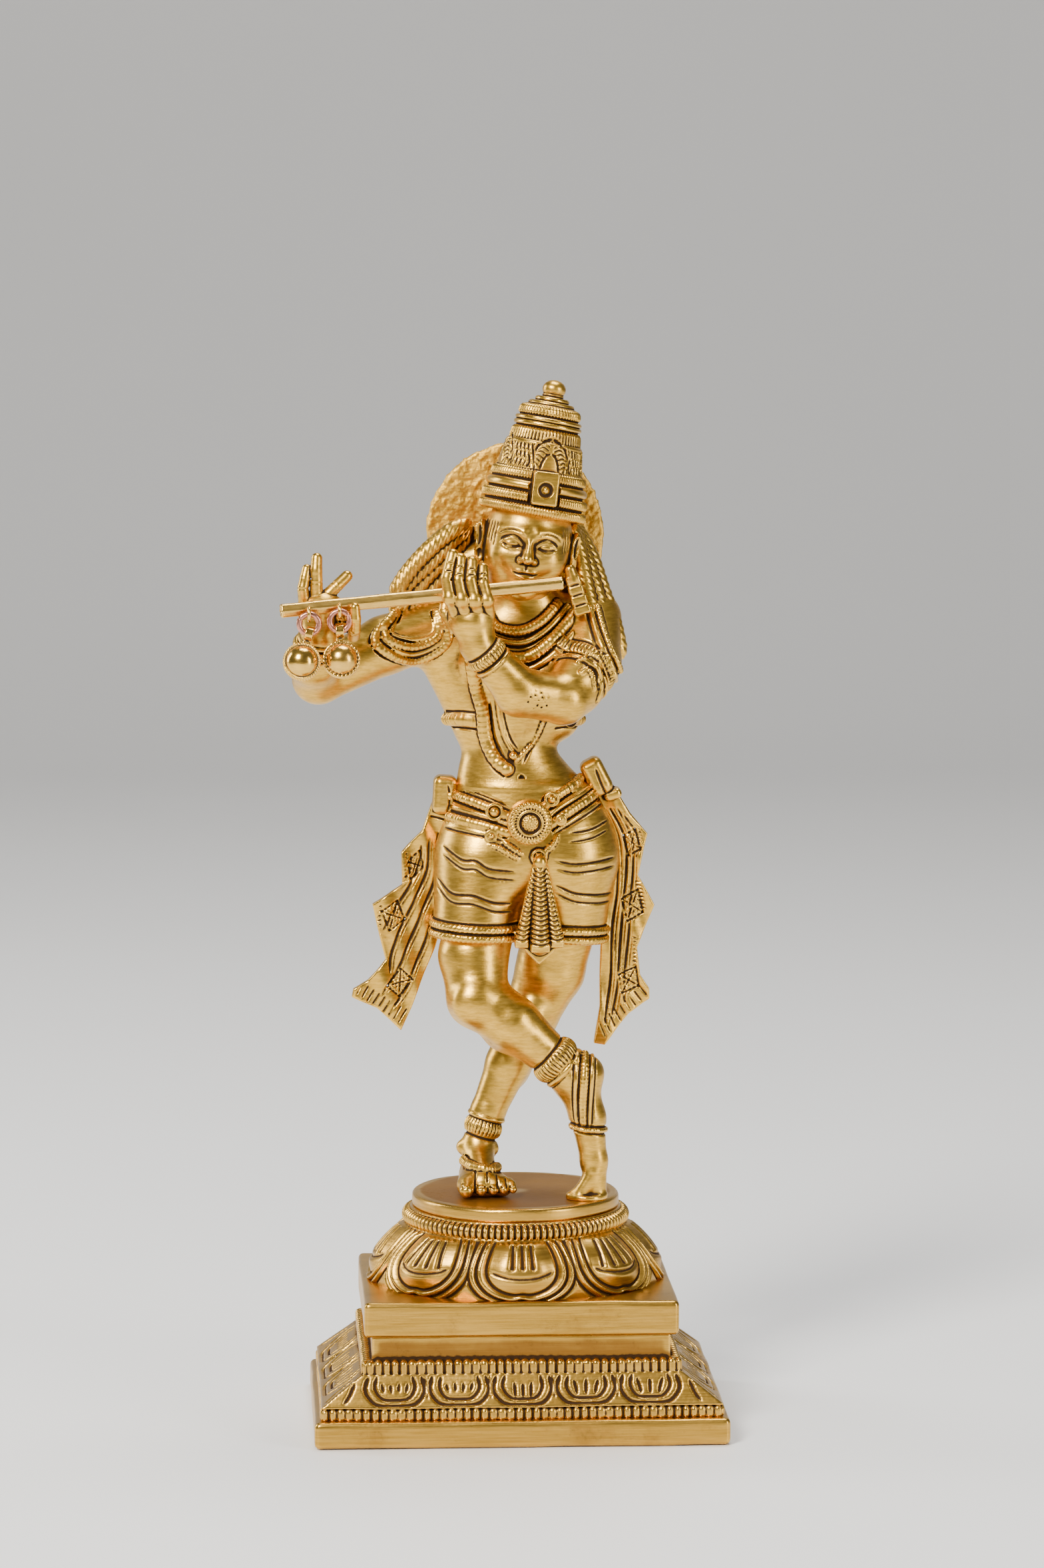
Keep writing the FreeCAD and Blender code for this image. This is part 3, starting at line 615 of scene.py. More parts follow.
def shield(u, v):
    """Distance outside a petal's outline, u across and v down from its top, in mm."""
    lobes = 0.9 * np.exp(-(u / 1.6) ** 2) * smooth_step(14, 18, v)
    w = (v - 7.6) / np.where(v < 7.6, 14.0, 8.9)
    return (np.sqrt((u / 9.6) ** 2 + w ** 2) - 1) * 8.8 + lobes


def petal_relief(u, v, radiating):
    """How far a petal's carving stands out, in mm."""
    d = shield(u, v)
    body = 1.5 * smooth_step(0.2, -5.0, d)
    rim = 1.0 * np.exp(-((d - 1.75) / 0.75) ** 2) + 0.75 * np.exp(-((d - 3.9) / 0.75) ** 2)
    cuts = 0.95 * np.exp(-((d - 0.3) / 0.42) ** 2) + 0.9 * np.exp(-((d - 2.85) / 0.4) ** 2)
    cuts = cuts + 1.0 * np.exp(-((d - 5.1) / 0.5) ** 2)
    facet = 0.7 * np.exp(-((v - 11.2 + 0.03 * u * u) / 0.7) ** 2) * smooth_step(0, -2.5, d)
    slots = 0.0
    for place in (-1.15, 0.0, 1.15) if not radiating else (-1.5, -0.5, 0.5, 1.5):
        line = u - place * (2.4 + (0.16 * v if radiating else 0.0))
        length = 8.6 if radiating else 7.6
        slots = slots + 1.15 * np.exp(-(line / 0.58) ** 2) * \
                                      smooth_step(length + 1, length, v) * smooth_step(0.6, 1.3, v)
    return body + rim - cuts - facet - slots * smooth_step(0, -1.5, d)


def lotus_field(x, y, z):
    t = np.clip((LOTUS_TOP - z) / (LOTUS_TOP - PEDESTAL_SLAB_TOP), -0.2, 1.1)
    squeeze = 1 + (LOTUS_RADII[0] / (PEDESTAL_HALF[1] + 0.2) - 1) * np.clip(t, 0, 1) ** 1.5
    ys = y * squeeze
    r = np.sqrt(x * x + ys * ys)
    bulge = np.sin(np.clip(t, 0, 1) * math.pi / 2) ** 0.9
    radius = LOTUS_RADII[1] - 1.2 + (LOTUS_RADII[0] - LOTUS_RADII[1] - 0.4) * bulge
    angle = np.arctan2(ys, x)
    sector = 2 * math.pi / PETALS
    index = np.round(angle / sector)
    off = angle - index * sector
    v = t * 18.5
    front = np.cos(index * sector + math.pi / 2)
    plain = petal_relief(off * 37.5, v, False)
    fan = petal_relief(off * 37.5, v, True)
    relief = np.where(front > 0.99, plain, fan)
    edge = smooth_step(-0.02, 0.06, t)
    return (r - radius - relief * edge + 0.55) * 0.8


def ring_of_beads(centre_z, radius, half_height, depth, count):
    def field(x, y, z):
        r = np.sqrt(x * x + y * y)
        bulge = np.sqrt(((r - radius) / 2.1) ** 2 + ((z - centre_z) / half_height) ** 2) - 1
        d = bulge * 2.1
        angle = np.arctan2(y, x) * count / (2 * math.pi)
        gap = (angle - np.round(angle)) * 2 * math.pi * radius / count
        return d + depth * np.exp(-(gap / 0.36) ** 2)
    return field, (-radius - 3, -radius - 3, centre_z - half_height - \
                   1), (radius + 3, radius + 3, centre_z + half_height + 1)


def make_pedestal():
    x, y = PEDESTAL_HALF
    slab = Clay((-x - 1, -y - 1, PLINTH_TOP - 1), (x + 1, y + 1, PEDESTAL_SLAB_TOP + 1), 0.55)
    slab.add(brick((0, 0, (PLINTH_TOP + PEDESTAL_SLAB_TOP) / 2), (x, y, 5.1), 1.4))
    slab.carve(disc((0, 0, PLINTH_TOP + 4), 26.0, 9.0))
    piece = to_mesh(slab, "pedestal_slab", finish="base_brass", smooth=1, wave=0.2)
    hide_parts("lotus_pedestal")

    lotus = Clay((-x - 1, -y - 1.6, PEDESTAL_SLAB_TOP - 1.0), (x + 1, y + 1.6, LOTUS_TOP + 1.5), 0.33)
    lotus.d[:] = lotus_field(*lotus.everywhere()).astype(np.float32)
    lotus.trim(
    lambda x,
    y,
    z: np.maximum(
        z -
        LOTUS_TOP -
        0.6,
        PEDESTAL_SLAB_TOP -
        0.4 -
        z) +
        0 *
        x +
        0 *
        y,
         0.3)
    lotus.carve(disc((0, 0, PEDESTAL_SLAB_TOP + 2), 26.0, 8.0))
    lotus.carve(disc((0, 0, LOTUS_TOP), 3.4, 12.0))
    piece = to_mesh(lotus, "lotus_petals", finish="base_brass", smooth=1, wave=0.12)
    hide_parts("lotus_pedestal")

    high = DISC_LOW
    beads = Clay((-36, -36, LOTUS_TOP - 1.5), (36, 36, high + 1), 0.3)
    beads.add(disc((0, 0, (LOTUS_TOP + high) / 2), BEAD_RING_RADIUS - 1.8, (high - LOTUS_TOP) / 2 + 0.2))
    beads.add(ring_of_beads((LOTUS_TOP + high) / 2 - 0.2, BEAD_RING_RADIUS - 1.4, 2.3, 1.0, 108), 0.2)
    beads.carve(disc((0, 0, LOTUS_TOP), 3.4, 12.0))
    piece = to_mesh(beads, "pedestal_beads", finish="base_brass", smooth=1, wave=0.12)
    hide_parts("lotus_pedestal")


def disc_shade_and_oxide(place):
    """Painted shade under the figure on the top between the feet, together with its oxide; the edge is
    rubbed bright.
    """
    radius = np.hypot(place[:, 0], place[:, 1])
    on_top = smooth_step(STAND - 0.5, STAND - 0.1, place[:, 2])
    return 0.2 * on_top * smooth_step(DISC_RADIUS - 1.0, DISC_RADIUS - 4.0, radius)


def make_foot_disc():
    clay = Clay((-DISC_RADIUS - 1, -DISC_RADIUS - 1, DISC_LOW - 1),
                (DISC_RADIUS + 1, DISC_RADIUS + 1, STAND + 2), 0.42)
    clay.add(disc((0, 0, (DISC_LOW + STAND) / 2), DISC_RADIUS, (STAND - DISC_LOW) / 2, rounding=1.1))
    clay.carve(disc((0, 0, DISC_LOW), 3.05, 3.0))
    # the disc's top gets painted shade under the figure, with oxide
    piece = to_mesh(clay, "foot_disc_cast", finish="base_brass", smooth=1, wave=0.3, added_shade_and_oxide=disc_shade_and_oxide)
    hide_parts("foot_disc")


# ---------------------------------------------------------------- figure: points and groups

# x, y, height above the disc, and the radius of the limb there
POINTS = {
    "left_ankle": (-11.0, 3.0, 13.0, 4.4),
    "left_shin": (-8.0, 3.2, 23.0, 4.9),
    "left_calf": (-2.0, 4.2, 37.0, 6.4),
    "left_knee": (4.5, 5.0, 51.0, 8.0),
    "left_thigh": (10.5, 4.0, 65.0, 10.0),
    "left_hip": (13.5, 3.0, 80.0, 11.0),
    "right_hip": (-9.5, -2.5, 84.0, 10.8),
    "right_thigh": (-12.6, -8.0, 71.0, 10.0),
    "right_knee": (-11.5, -12.5, 59.0, 8.9),
    "right_calf": (-1.5, -15.0, 52.0, 7.9),
    "right_ankle": (10.5, -15.0, 41.5, 6.0),
    "right_heel": (19.6, -14.0, 37.0, 5.4),
    "right_instep": (20.4, -14.0, 24.0, 4.9),
    "right_ball": (22.2, -14.0, 11.0, 3.7),
    "right_toe": (22.8, -14.4, 2.4, 3.0),
    "left_shoulder": (22.0, 1.0, 168.5, 9.0),
    "left_upper_arm": (21.5, -8.0, 157.0, 8.6),
    "left_elbow": (13.0, -19.0, 147.0, 7.2),
    "left_forearm": (0.0, -23.5, 149.5, 7.0),
    "left_wrist": (-12.0, -27.0, 163.5, 4.9),
    "right_shoulder": (-20.0, 1.0, 167.0, 9.0),
    "right_upper_arm": (-38.0, -4.0, 161.5, 8.4),
    "right_elbow": (-57.5, -10.0, 152.5, 7.2),
    "right_forearm": (-59.0, -19.0, 158.0, 6.6),
    "right_wrist": (-57.5, -23.6, 166.0, 5.3),
}
LIMBS = {
    "standing_leg": ["left_ankle", "left_shin", "left_calf", "left_knee", "left_thigh", "left_hip"],
    "crossing_leg": ["right_hip", "right_thigh", "right_knee", "right_calf", "right_ankle"],
    "left_arm": ["left_shoulder", "left_upper_arm", "left_elbow", "left_forearm", "left_wrist"],
    "right_arm": ["right_shoulder", "right_upper_arm", "right_elbow", "right_forearm", "right_wrist"],
}
# level ellipses, upwards: x, y, height above the disc, half width and half depth
PELVIS = [
    (2.6, -1.0, 88.0, 24.0, 12.0),
    (3.6, -1.0, 98.0, 25.6, 14.2),
    (3.4, -0.4, 108.0, 24.6, 14.4),
    (3.0, 0.0, 116.0, 21.6, 13.6),
    (2.0, 0.0, 122.0, 18.6, 12.4),
]
CHEST = [
    (2.0, 0.0, 120.0, 19.4, 12.8),
    (-0.6, 0.0, 126.0, 15.8, 11.2),
    (-2.0, 0.0, 132.0, 13.2, 10.2),
    (-0.6, -0.4, 142.0, 17.0, 11.2),
    (1.6, 0.0, 156.0, 20.6, 12.0),
    (2.8, 0.6, 168.0, 19.0, 10.4),
    (3.2, 0.4, 175.0, 11.0, 8.2),
    (3.0, -0.8, 180.0, 7.2, 6.8),
]


def up(x, y, height):
    """A place given by its height above the disc."""
    return np.array([x, y, height + STAND])


def at(name):
    x, y, height, radius = POINTS[name]
    return up(x, y, height), radius


def stack(sections, blend_low=4.0, blend_high=4.0):
    """A body through level ellipses, closed by soft ends."""
    table = np.array(sections, float)
    heights = table[:, 2] + STAND
    slopes = [np.gradient(table[:, i], heights) for i in (0, 1, 3, 4)]

    def spline(column, slope, z):
        i = np.clip(np.searchsorted(heights, z) - 1, 0, len(heights) - 2)
        gap = heights[i + 1] - heights[i]
        t = np.clip((z - heights[i]) / gap, 0, 1)
        a, b = table[i, column], table[i + 1, column]
        return ((1 + 2 * t) * (1 - t) ** 2 * a + t * (1 - t) ** 2 * gap * slope[i]
                + t * t * (3 - 2 * t) * b + t * t * (t - 1) * gap * slope[i + 1])

    def field(x, y, z):
        cx, cy, a, b = (spline(column, slope, z) for column, slope in zip((0, 1, 3, 4), slopes))
        u, v = (x - cx) / a, (y - cy) / b
        k0 = np.sqrt(u * u + v * v)
        k1 = np.sqrt((u / a) ** 2 + (v / b) ** 2)
        d = k0 * (k0 - 1) / np.maximum(k1, 1e-6)
        d = smooth_max(d, heights[0] - z, blend_low)
        return smooth_max(d, z - heights[-1], blend_high)
    wide = (table[:, 3] + np.abs(table[:, 0])).max()
    deep = (table[:, 4] + np.abs(table[:, 1])).max()
    return field, (-wide, -deep, heights[0]), (wide, deep, heights[-1])


def limb_forms(name):
    points = LIMBS[name]
    forms = []
    for low, high in zip(points, points[1:]):
        (a, ra), (b, rb) = at(low), at(high)
        forms.append((bone(a, b, ra, rb), 1.6))
    return forms


def group_forms(name):
    """Forms of a group of the figure, each with the width of its fillet."""
    if name == "hips":
        forms = [(stack(PELVIS, 6.0, 2.0), 0)]
        forms.append((bone(up(-9.6, -2.6, 98), up(-12.4, -6.4, 76), 13.2, 12.4), 5.0))
        forms.append((bone(up(15.0, -0.6, 99), up(14.6, 0.6, 76), 14.2, 11.9), 5.0))
        forms.append((bone(up(-9.6, 3.4, 98), up(-11.4, 1.2, 78), 12.6, 11.0), 4.0))
        forms.append((egg(up(-8.5, 8.5, 99), (11.5, 9.0, 12.0)), 4.0))
        forms.append((egg(up(15.0, 8.5, 99), (11.5, 9.0, 12.0)), 4.0))
        return forms
    if name == "torso":
        forms = [(stack(CHEST, 1.0, 2.0), 0)]
        forms.append((bone(up(-22, 1, 161), up(-11.5, 0.5, 138), 7.6, 6.4), 5.0))
        forms.append((bone(up(22, 2, 162), up(12.0, 1.0, 140), 8.0, 7.0), 5.0))
        forms.append((egg(up(-7.5, -8.2, 157), (8.6, 4.6, 6.8)), 3.0))
        forms.append((egg(up(11.5, -8.2, 158), (8.6, 4.6, 6.8)), 3.0))
        forms.append((bone(up(-16, 3.5, 168), up(3, 4.5, 174), 5.5, 6.0), 5.0))
        forms.append((bone(up(20, 3.5, 169), up(3, 4.5, 174), 5.5, 6.0), 5.0))
        forms.append((egg(up(-8.5, 7.5, 158), (9.5, 5.0, 11.0)), 4.0))
        forms.append((egg(up(11.5, 7.5, 158), (9.5, 5.0, 11.0)), 4.0))
        forms.append((bone(up(3.0, -0.6, 172), up(3.2, -2.6, 185), 7.0, 6.6), 3.5))
        return forms
    forms = limb_forms(name)
    if name == "standing_leg":
        forms.append((egg(up(0.0, 8.2, 40), (5.6, 5.2, 11.0)), 3.0))
        forms.append((egg(up(4.0, -2.2, 52), (5.0, 3.6, 5.4)), 3.0))
        forms.append((egg(up(-10.8, 6.2, 5.2), (5.0, 5.4, 5.6)), 2.5))
        forms.append((bone(up(-10.9, 2.0, 12.0), up(-10.4, -8.6, 4.6), 4.4, 4.0), 3.0))
        forms.append((bone(up(-12.6, 3.0, 3.6), up(-14.2, -10.2, 3.4), 3.8, 3.5), 2.5))
        forms.append((bone(up(-8.6, 3.0, 3.6), up(-4.4, -9.6, 3.0), 3.8, 3.1), 2.5))
        forms.append((bone(up(-10.4, 0.0, 6.0), up(-9.4, -10.4, 3.8), 4.2, 3.6), 2.5))
        forms.append((ball(up(-15.4, 2.6, 12.6), 1.9), 1.5))
        forms.append((ball(up(-6.6, 2.8, 12.0), 1.8), 1.5))
    if name == "crossing_leg":
        forms.append((egg(up(-13.0, -18.6, 58.6), (5.4, 3.6, 5.6)), 3.0))
        forms.append((egg(up(-1.0, -11.4, 49.0), (9.0, 5.0, 6.6)), 3.0))
        heel, heel_r = at("right_heel")
        instep, instep_r = at("right_instep")
        ball_place, ball_r = at("right_ball")
        toe, toe_r = at("right_toe")
        ankle, ankle_r = at("right_ankle")
        forms.append((bone(ankle, up(15.8, -14.4, 36.6), ankle_r, 6.0), 2.0))
        forms.append((bone(up(15.8, -14.4, 36.6), heel, 6.0, heel_r), 3.0))
        forms.append((bone(up(17.2, -14.2, 35.0), instep, 6.2, instep_r), 3.0))
        forms.append((bone(instep, ball_place, instep_r, ball_r), 2.0))
        forms.append((bone(ball_place, toe, ball_r, toe_r), 2.0))
    if name == "left_arm":
        forms.append((egg(up(17.6, -14.8, 151.0), (7.4, 6.4, 8.6)), 3.0))
    return forms


def group_field(clay, name):
    """A group's own distances over the whole of a clay's grid."""
    part = Clay(clay.low, clay.low, clay.voxel)
    part.axes = clay.axes
    part.d = np.full(clay.d.shape, 3 * FAR, np.float32)
    for form, blend in group_forms(name):
        field, low, high = form
        cut, xyz = part.window(np.array(low) - 3 * FAR, np.array(high) + 3 * FAR)
        if cut is not None:
            part.d[cut] = smooth_min(part.d[cut], field(*xyz).astype(np.float32), blend)
    return part.d


FILLETS = {("hips", "torso"): 1.0, ("torso", "left_arm"): 3.0, ("torso", "right_arm"): 4.0}
OVERLAP = 0.7


def figure_clay(own, others, low, high, voxel):
    """Clay of one group of the figure, blended with its neighbours and cut where they begin."""
    clay = Clay(low, high, voxel)
    mine = group_field(clay, own)
    rest = np.full(clay.d.shape, 3 * FAR, np.float32)
    total = mine.copy()
    for other in others:
        theirs = group_field(clay, other)
        fillet = FILLETS.get((own, other), FILLETS.get((other, own), 0.8))
        total = smooth_min(total, theirs, fillet)
        rest = np.minimum(rest, theirs)
    clay.d = total.astype(np.float32)
    return clay, (mine - rest) * 0.5 - OVERLAP


def keep(clay, region):
    clay.whole = clay.d.copy()
    clay.d = np.maximum(clay.d, region)


# ---------------------------------------------------------------- dress and jewels on the figure

def ribbed(clay, path, radius, pitch=1.3, depth=0.28, outward=(0, -1, 0)):
    """A flattened, ribbed cord laid on the clay, with a cut line along each side."""
    path = np.asarray(path)
    trace(clay, path, radius, 0.2, pitch=pitch, depth=depth, flat=0.8, outward=outward)
    step = np.gradient(path, axis=0)
    across = np.cross(step, np.array(outward, float))
    across /= np.maximum(np.linalg.norm(across, axis=1), 1e-9)[:, None]
    for side in (-1, 1):
        edge = path + across * side * (radius + 0.35)
        trace(clay, edge, 0.38, 0.15, cut=True)


# lines are drawn on a plane this far before or behind the figure, then pressed onto it
DRAW_PLANE = 45.0
DRAW_STEP = 0.6
DRAPE_REACH = 90.0


def pressed_line(clay, points, side, sink):
    flat = curve([(x, 0, h + STAND) for x, h in points], step=DRAW_STEP)
    flat[:, 1] = side * DRAW_PLANE
    return clay.drape(flat, (0, -side, 0), DRAPE_REACH, sink)


def front_line(clay, points, sink=0.0):
    """A smooth line through (x, height) places, pressed back onto the clay."""
    return pressed_line(clay, points, -1, sink)


def back_line(clay, points, sink=0.0):
    """The same from behind, pressed forward onto the clay."""
    return pressed_line(clay, points, 1, sink)


def fold_line(clay, points, radius=0.42):
    trace(clay, front_line(clay, points), radius, 0.3, cut=True, taper=3.0)


HEM_HEIGHTS = (79.6, 77.0)
BOSSES = [(-6.8, 113.8, 2.6), (-7.8, 106.9, 1.7), (9.9, 117.4, 2.1), (12.5, 111.4, 1.5), (6.0, 100.8, 2.3)]


def make_hips():
    clay, region = figure_clay("hips", ["torso"], (-30, -25, STAND + 70), (36, 22, STAND + 125), 0.3)

    # the cloth ends in a hem whose two halves lean a little
    def under_hem(x, y, z):
        lean = STAND + 75.6 - 0.06 * (x - 3) + 0 * y
        return lean - z
    clay.trim(under_hem, 0.8)
    # folds, in pairs, wrap each thigh and fade towards the back
    folds = [
        [(-21.6, 103.4), (-16.4, 99.9), (-12.4, 99.7), (-8.3, 97.4), (-0.6, 96.3)],
        [(-23.3, 93.8), (-19.3, 90.1), (-13.2, 89.7), (-7.1, 87.6), (-1.6, 86.9)],
        [(14.8, 107.4), (21.4, 108.3), (26.8, 110.2)],
        [(10.8, 99.7), (16.1, 98.5), (22.2, 98.8), (28.6, 99.6)],
        [(10.8, 92.4), (16.1, 89.9), (22.2, 89.0), (28.2, 88.6)],
    ]
    for fold in folds:
        fold_line(clay, fold, 0.5)
        fold_line(clay, [(x, h - 2.5) for x, h in fold], 0.42)
    for height, x_low, x_high in ((108, -17, 1), (100, -19, 1), (92, -21, -1), (84, -21, -1)):
        for drop in (0, 2.5):
            line = [(x_low, height - drop), ((x_low + x_high) / 2,
                     height - 2.2 - drop), (x_high, height - 1 - drop)]
            trace(clay, back_line(clay, line), 0.42, 0.3, cut=True, taper=3.0)
            line = [(26 - (x - x_low), h + 1) for x, h in line]
            trace(clay, back_line(clay, line), 0.42, 0.3, cut=True, taper=3.0)
    # hems: ribbed cords with cut lines, round the whole skirt
    for height in HEM_HEIGHTS:
        path = clay.girdle(up(1.5, -1.0, height - 0.6), (0.06, 0.0, 1.0), 260, reach=34, sink=0.15)
        trace(clay, path, 1.2, 0.15, pitch=1.35, depth=0.32, slant=0.5)
    for height in (81.2, 78.3):
        path = clay.girdle(up(1.5, -1.0, height - 0.6), (0.06, 0.0, 1.0), 260, reach=34, sink=-0.1)
        trace(clay, path, 0.4, 0.1, cut=True)
    # belts: two ribbed cords that dip to the medallion, with cuts above, between and below
    belts = [
        ([(-19.6, 118.4), (-17.6, 117.7), (-9.1, 115.0), (-2.6, 112.4)], 1.35),
        ([(-20.6, 111.6), (-19.3, 111.4), (-9.1, 109.4), (-2.6, 107.6)], 1.35),
        ([(8.2, 115.6), (11.2, 118.0), (20.1, 123.0), (22.6, 124.0)], 1.35),
        ([(9.0, 109.6), (14.5, 113.2), (23.0, 117.9), (25.4, 118.8)], 1.35),
    ]
    for points, radius in belts:
        ribbed(clay, front_line(clay, points, sink=0.2), radius, pitch=1.35, depth=0.3)
    for points in ([(-20.6, 114.8), (-9.0, 112.2), (-3.0, 110.2)],
                   [(9.2, 112.6), (13.0, 115.4), (23.8, 120.8)]):
        trace(clay, front_line(clay, points, sink=0.1), 0.7, 0.4)
    for points in (
        [(-18.4, 120.6), (-8.8, 117.6), (-2.0, 114.8)],
        [(8.4, 118.2), (12.0, 121.4), (20.0, 125.6)],
        [(-21.0, 108.4), (-9.4, 106.6), (-3.0, 105.2)],
        [(9.8, 107.0), (16.0, 110.2), (25.6, 115.2)],
    ):
        fold_line(clay, points, 0.45)
    for rise in (115.2, 110.2):
        path = back_line(clay, [(-19, rise + 2), (-8, rise), (3, rise - 0.8),
                         (14, rise + 1), (24, rise + 5)], sink=0.2)
        ribbed(clay, path, 1.3, pitch=1.35, depth=0.3, outward=(0, 1, 0))
    # leaf scrolls beside the medallion, and bosses with a bead in each
    for points in (
        [(-8.6, 104.4), (-5.4, 103.4), (-2.0, 101.4), (0.6, 99.8)],
        [(-4.8, 106.0), (-2.4, 103.8), (1.6, 101.2)],
        [(9.6, 104.6), (8.2, 102.6), (7.4, 99.0)],
        [(11.8, 107.4), (10.4, 104.6), (8.6, 102.2)],
    ):
        trace(clay, front_line(clay, points, sink=0.15), 0.75, 0.3, taper=2.0, pitch=1.1, depth=0.2)
    for x, h, radius in BOSSES:
        place = front_line(clay, [(x, h), (x + 0.1, h)])[0]
        clay.add(ring(place + (0, -0.3, 0), radius * 0.86, 0.5, (0, 1, 0)), 0.25)
        clay.add(egg(place + (0, -0.5, 0), (radius * 0.55, radius * 0.5, radius * 0.55)), 0.2)
    keep(clay, region)
    clay.carve(brick(up(0, 0, 70), (40, 30, 3)))
    piece = to_mesh(clay, "dhoti", wave=0.1)
    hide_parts("hips")


def make_torso():
    clay, region = figure_clay("torso", ["hips", "left_arm", "right_arm"],
                               (-32, -18, STAND + 116), (34, 17, STAND + 187), 0.3)
    # navel and the fold of the belly
    clay.carve(egg(front_line(clay, [(1.2, 123.4), (1.3, 123.4)])[0], (0.9, 1.2, 1.1)), 0.6)
    # necklaces, from the throat outwards: rope, plain band, ribbed cord, plain ridge
    chains = [
        # places, radius, pitch of the ribs
        ([(-8.5, 172.0), (-6.0, 167.4), (0.7, 166.0), (7.0, 168.8), (12.4, 174.0)], 1.3, 1.25),
        ([(-10.5, 169.8), (-7.5, 164.6), (0.7, 162.6), (8.0, 166.0), (15.0, 172.8)], 0.85, 0.0),
        ([(-13.5, 168.0), (-7.6, 160.8), (1.4, 158.3), (9.0, 162.6), (17.8, 171.4)], 1.6, 1.4),
        ([(-15.5, 166.0), (-8.4, 157.4), (0.7, 154.6), (9.0, 158.4), (19.8, 169.0)], 0.9, 0.0),
    ]
    for points, radius, pitch in chains:
        path = front_line(clay, points, sink=-0.15)
        for side in (-1, 1):
            trace(clay, path + np.array([0, 0.1, side * (radius + 0.25)]), 0.55, 0.2, cut=True)
        trace(clay, path, radius, 0.12, pitch=pitch, depth=0.42 if pitch else 0.0, flat=0.9)
    # garland: a long ribbed loop down the middle of the body, with thin cords beside it and a pendant
    garland = [(-13.4, 158.0), (-12.2, 150.8), (-10.1, 143.0), (-9.2, 135.2), (-6.4, 128.8), (-2.6, 125.6)]
    ribbed(clay, front_line(clay, garland, sink=-0.1), 1.8, pitch=1.6, depth=0.6)
    fold_line(clay, [(-8.2, 146.4), (-7.4, 140.0), (-6.2, 134.0), (-3.6, 129.4)], 0.4)
    trace(clay, front_line(clay, [(-5.8, 147.0), (-5.2, 141.0),
          (-3.4, 134.6), (-1.2, 130.8)], sink=0.1), 0.6, 0.2)
    fold_line(clay, [(-4.4, 147.0), (-3.8, 141.0), (-2.0, 135.0), (0.4, 131.4)], 0.38)
    fold_line(clay, [(6.4, 136.4), (4.6, 132.8), (1.4, 127.0)], 0.38)
    pendant = front_line(clay, [(-1.2, 129.8), (-1.1, 129.8)])[0]
    clay.add(ball(pendant + (0, -0.4, 0), 1.3), 0.2)
    trace(clay, front_line(clay, [(9.8, 150.0), (8.0, 141.0), (5.0, 134.0),
          (-0.4, 128.4)], sink=0.1), 0.7, 0.3, pitch=1.2, depth=0.2)
    # band round the ribs: two cut lines with ribs between them
    for low, high in (((-12.0, 139.7), (-21.0, 139.4)), ((11.6, 139.7), (19.0, 139.4))):
        middle = (low[0] + high[0]) / 2
        path = front_line(clay, [low, (middle, 139.9), high], sink=0.5)
        trace(clay, path, 1.9, 0.5, pitch=1.15, depth=0.22, flat=0.45)
        for rise in (-2.5, 2.5):
            trace(clay, front_line(clay, [(x, h + rise)
                  for x, h in (low, (middle, 139.9), high)]), 0.45, 0.2, cut=True)
    back_band = back_line(clay, [(-17.5, 139.8), (-8, 138.8),
                          (0, 138.6), (8, 138.8), (16.5, 140)], sink=0.2)
    ribbed(clay, back_band, 1.7, pitch=1.3, depth=0.3, outward=(0, 1, 0))
    # the spine and the shoulder blades
    spine = back_line(clay, [(-1.4, 128), (-1.0, 134), (0.6, 146), (2.0, 158), (2.8, 166)])
    trace(clay, spine, 1.0, 1.6, cut=True, taper=5.0)
    for points in ([(-4.0, 168.5), (3.0, 163.0), (10.5, 169.5)],
                   [(-6.5, 166.0), (3.0, 159.4), (13.0, 167.0)]):
        ribbed(clay, back_line(clay, points, sink=0.15), 1.2, pitch=1.2, depth=0.3, outward=(0, 1, 0))
    keep(clay, region)
    piece = to_mesh(clay, "torso_cast", wave=0.1)
    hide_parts("torso")


def limb_band(clay, centre, axis, reach, wire, pitch, cuts=True, shift=0.0):
    """A ribbed cord round the limb where a plane cuts it, with a cut line on each side."""
    axis = np.array(axis, float) / np.linalg.norm(axis)
    path = clay.girdle(centre + axis * shift, axis, 140, reach=reach, sink=0.2)
    away = wire + 0.3
    rims = [clay.girdle(centre + axis * (shift + side * away), axis, 140, reach=reach) for side in (-1, 1)]
    trace(clay, path, wire, 0.15, pitch=pitch, depth=0.25)
    if cuts:
        for rim in rims:
            trace(clay, rim, 0.42, 0.15, cut=True)


def ribbed_band(clay, centre, axis, reach, half_width, rise=1.0, pitch=1.2):
    """A flat band round a limb, with its edges cut in and its face ribbed across."""
    axis = np.array(axis, float) / np.linalg.norm(axis)
    wire = (half_width ** 2 + rise ** 2) / (2 * rise)
    path = clay.girdle(centre, axis, 140, reach=reach, sink=wire - rise)
    edges = [clay.girdle(centre + axis * side * (half_width + 0.2), axis, 140, reach=reach)
                         for side in (-1, 1)]
    trace(clay, path, wire, 0.1)
    for edge in edges:
        trace(clay, edge, 0.45, 0.15, cut=True)
    rings = [clay.girdle(centre + axis * share * half_width, axis, 140, reach=reach)
                         for share in (-0.8, -0.3, 0.3, 0.8)]
    middle = rings[1]
    length = np.concatenate([[0], np.cumsum(np.linalg.norm(np.diff(middle, axis=0), axis=1))])
    for distance in np.arange(0, length[-1], pitch):
        index = int(np.searchsorted(length, distance))
        lines = []
        for step in rings:
            lines.append(step[np.argmin(np.linalg.norm(step - middle[index], axis=1))])
        trace(clay, np.array(lines), 0.3, 0.1, cut=True)


def along(low, high, t):
    a, _ = at(low)
    b, _ = at(high)
    return a + (b - a) * t, (b - a) / np.linalg.norm(b - a)


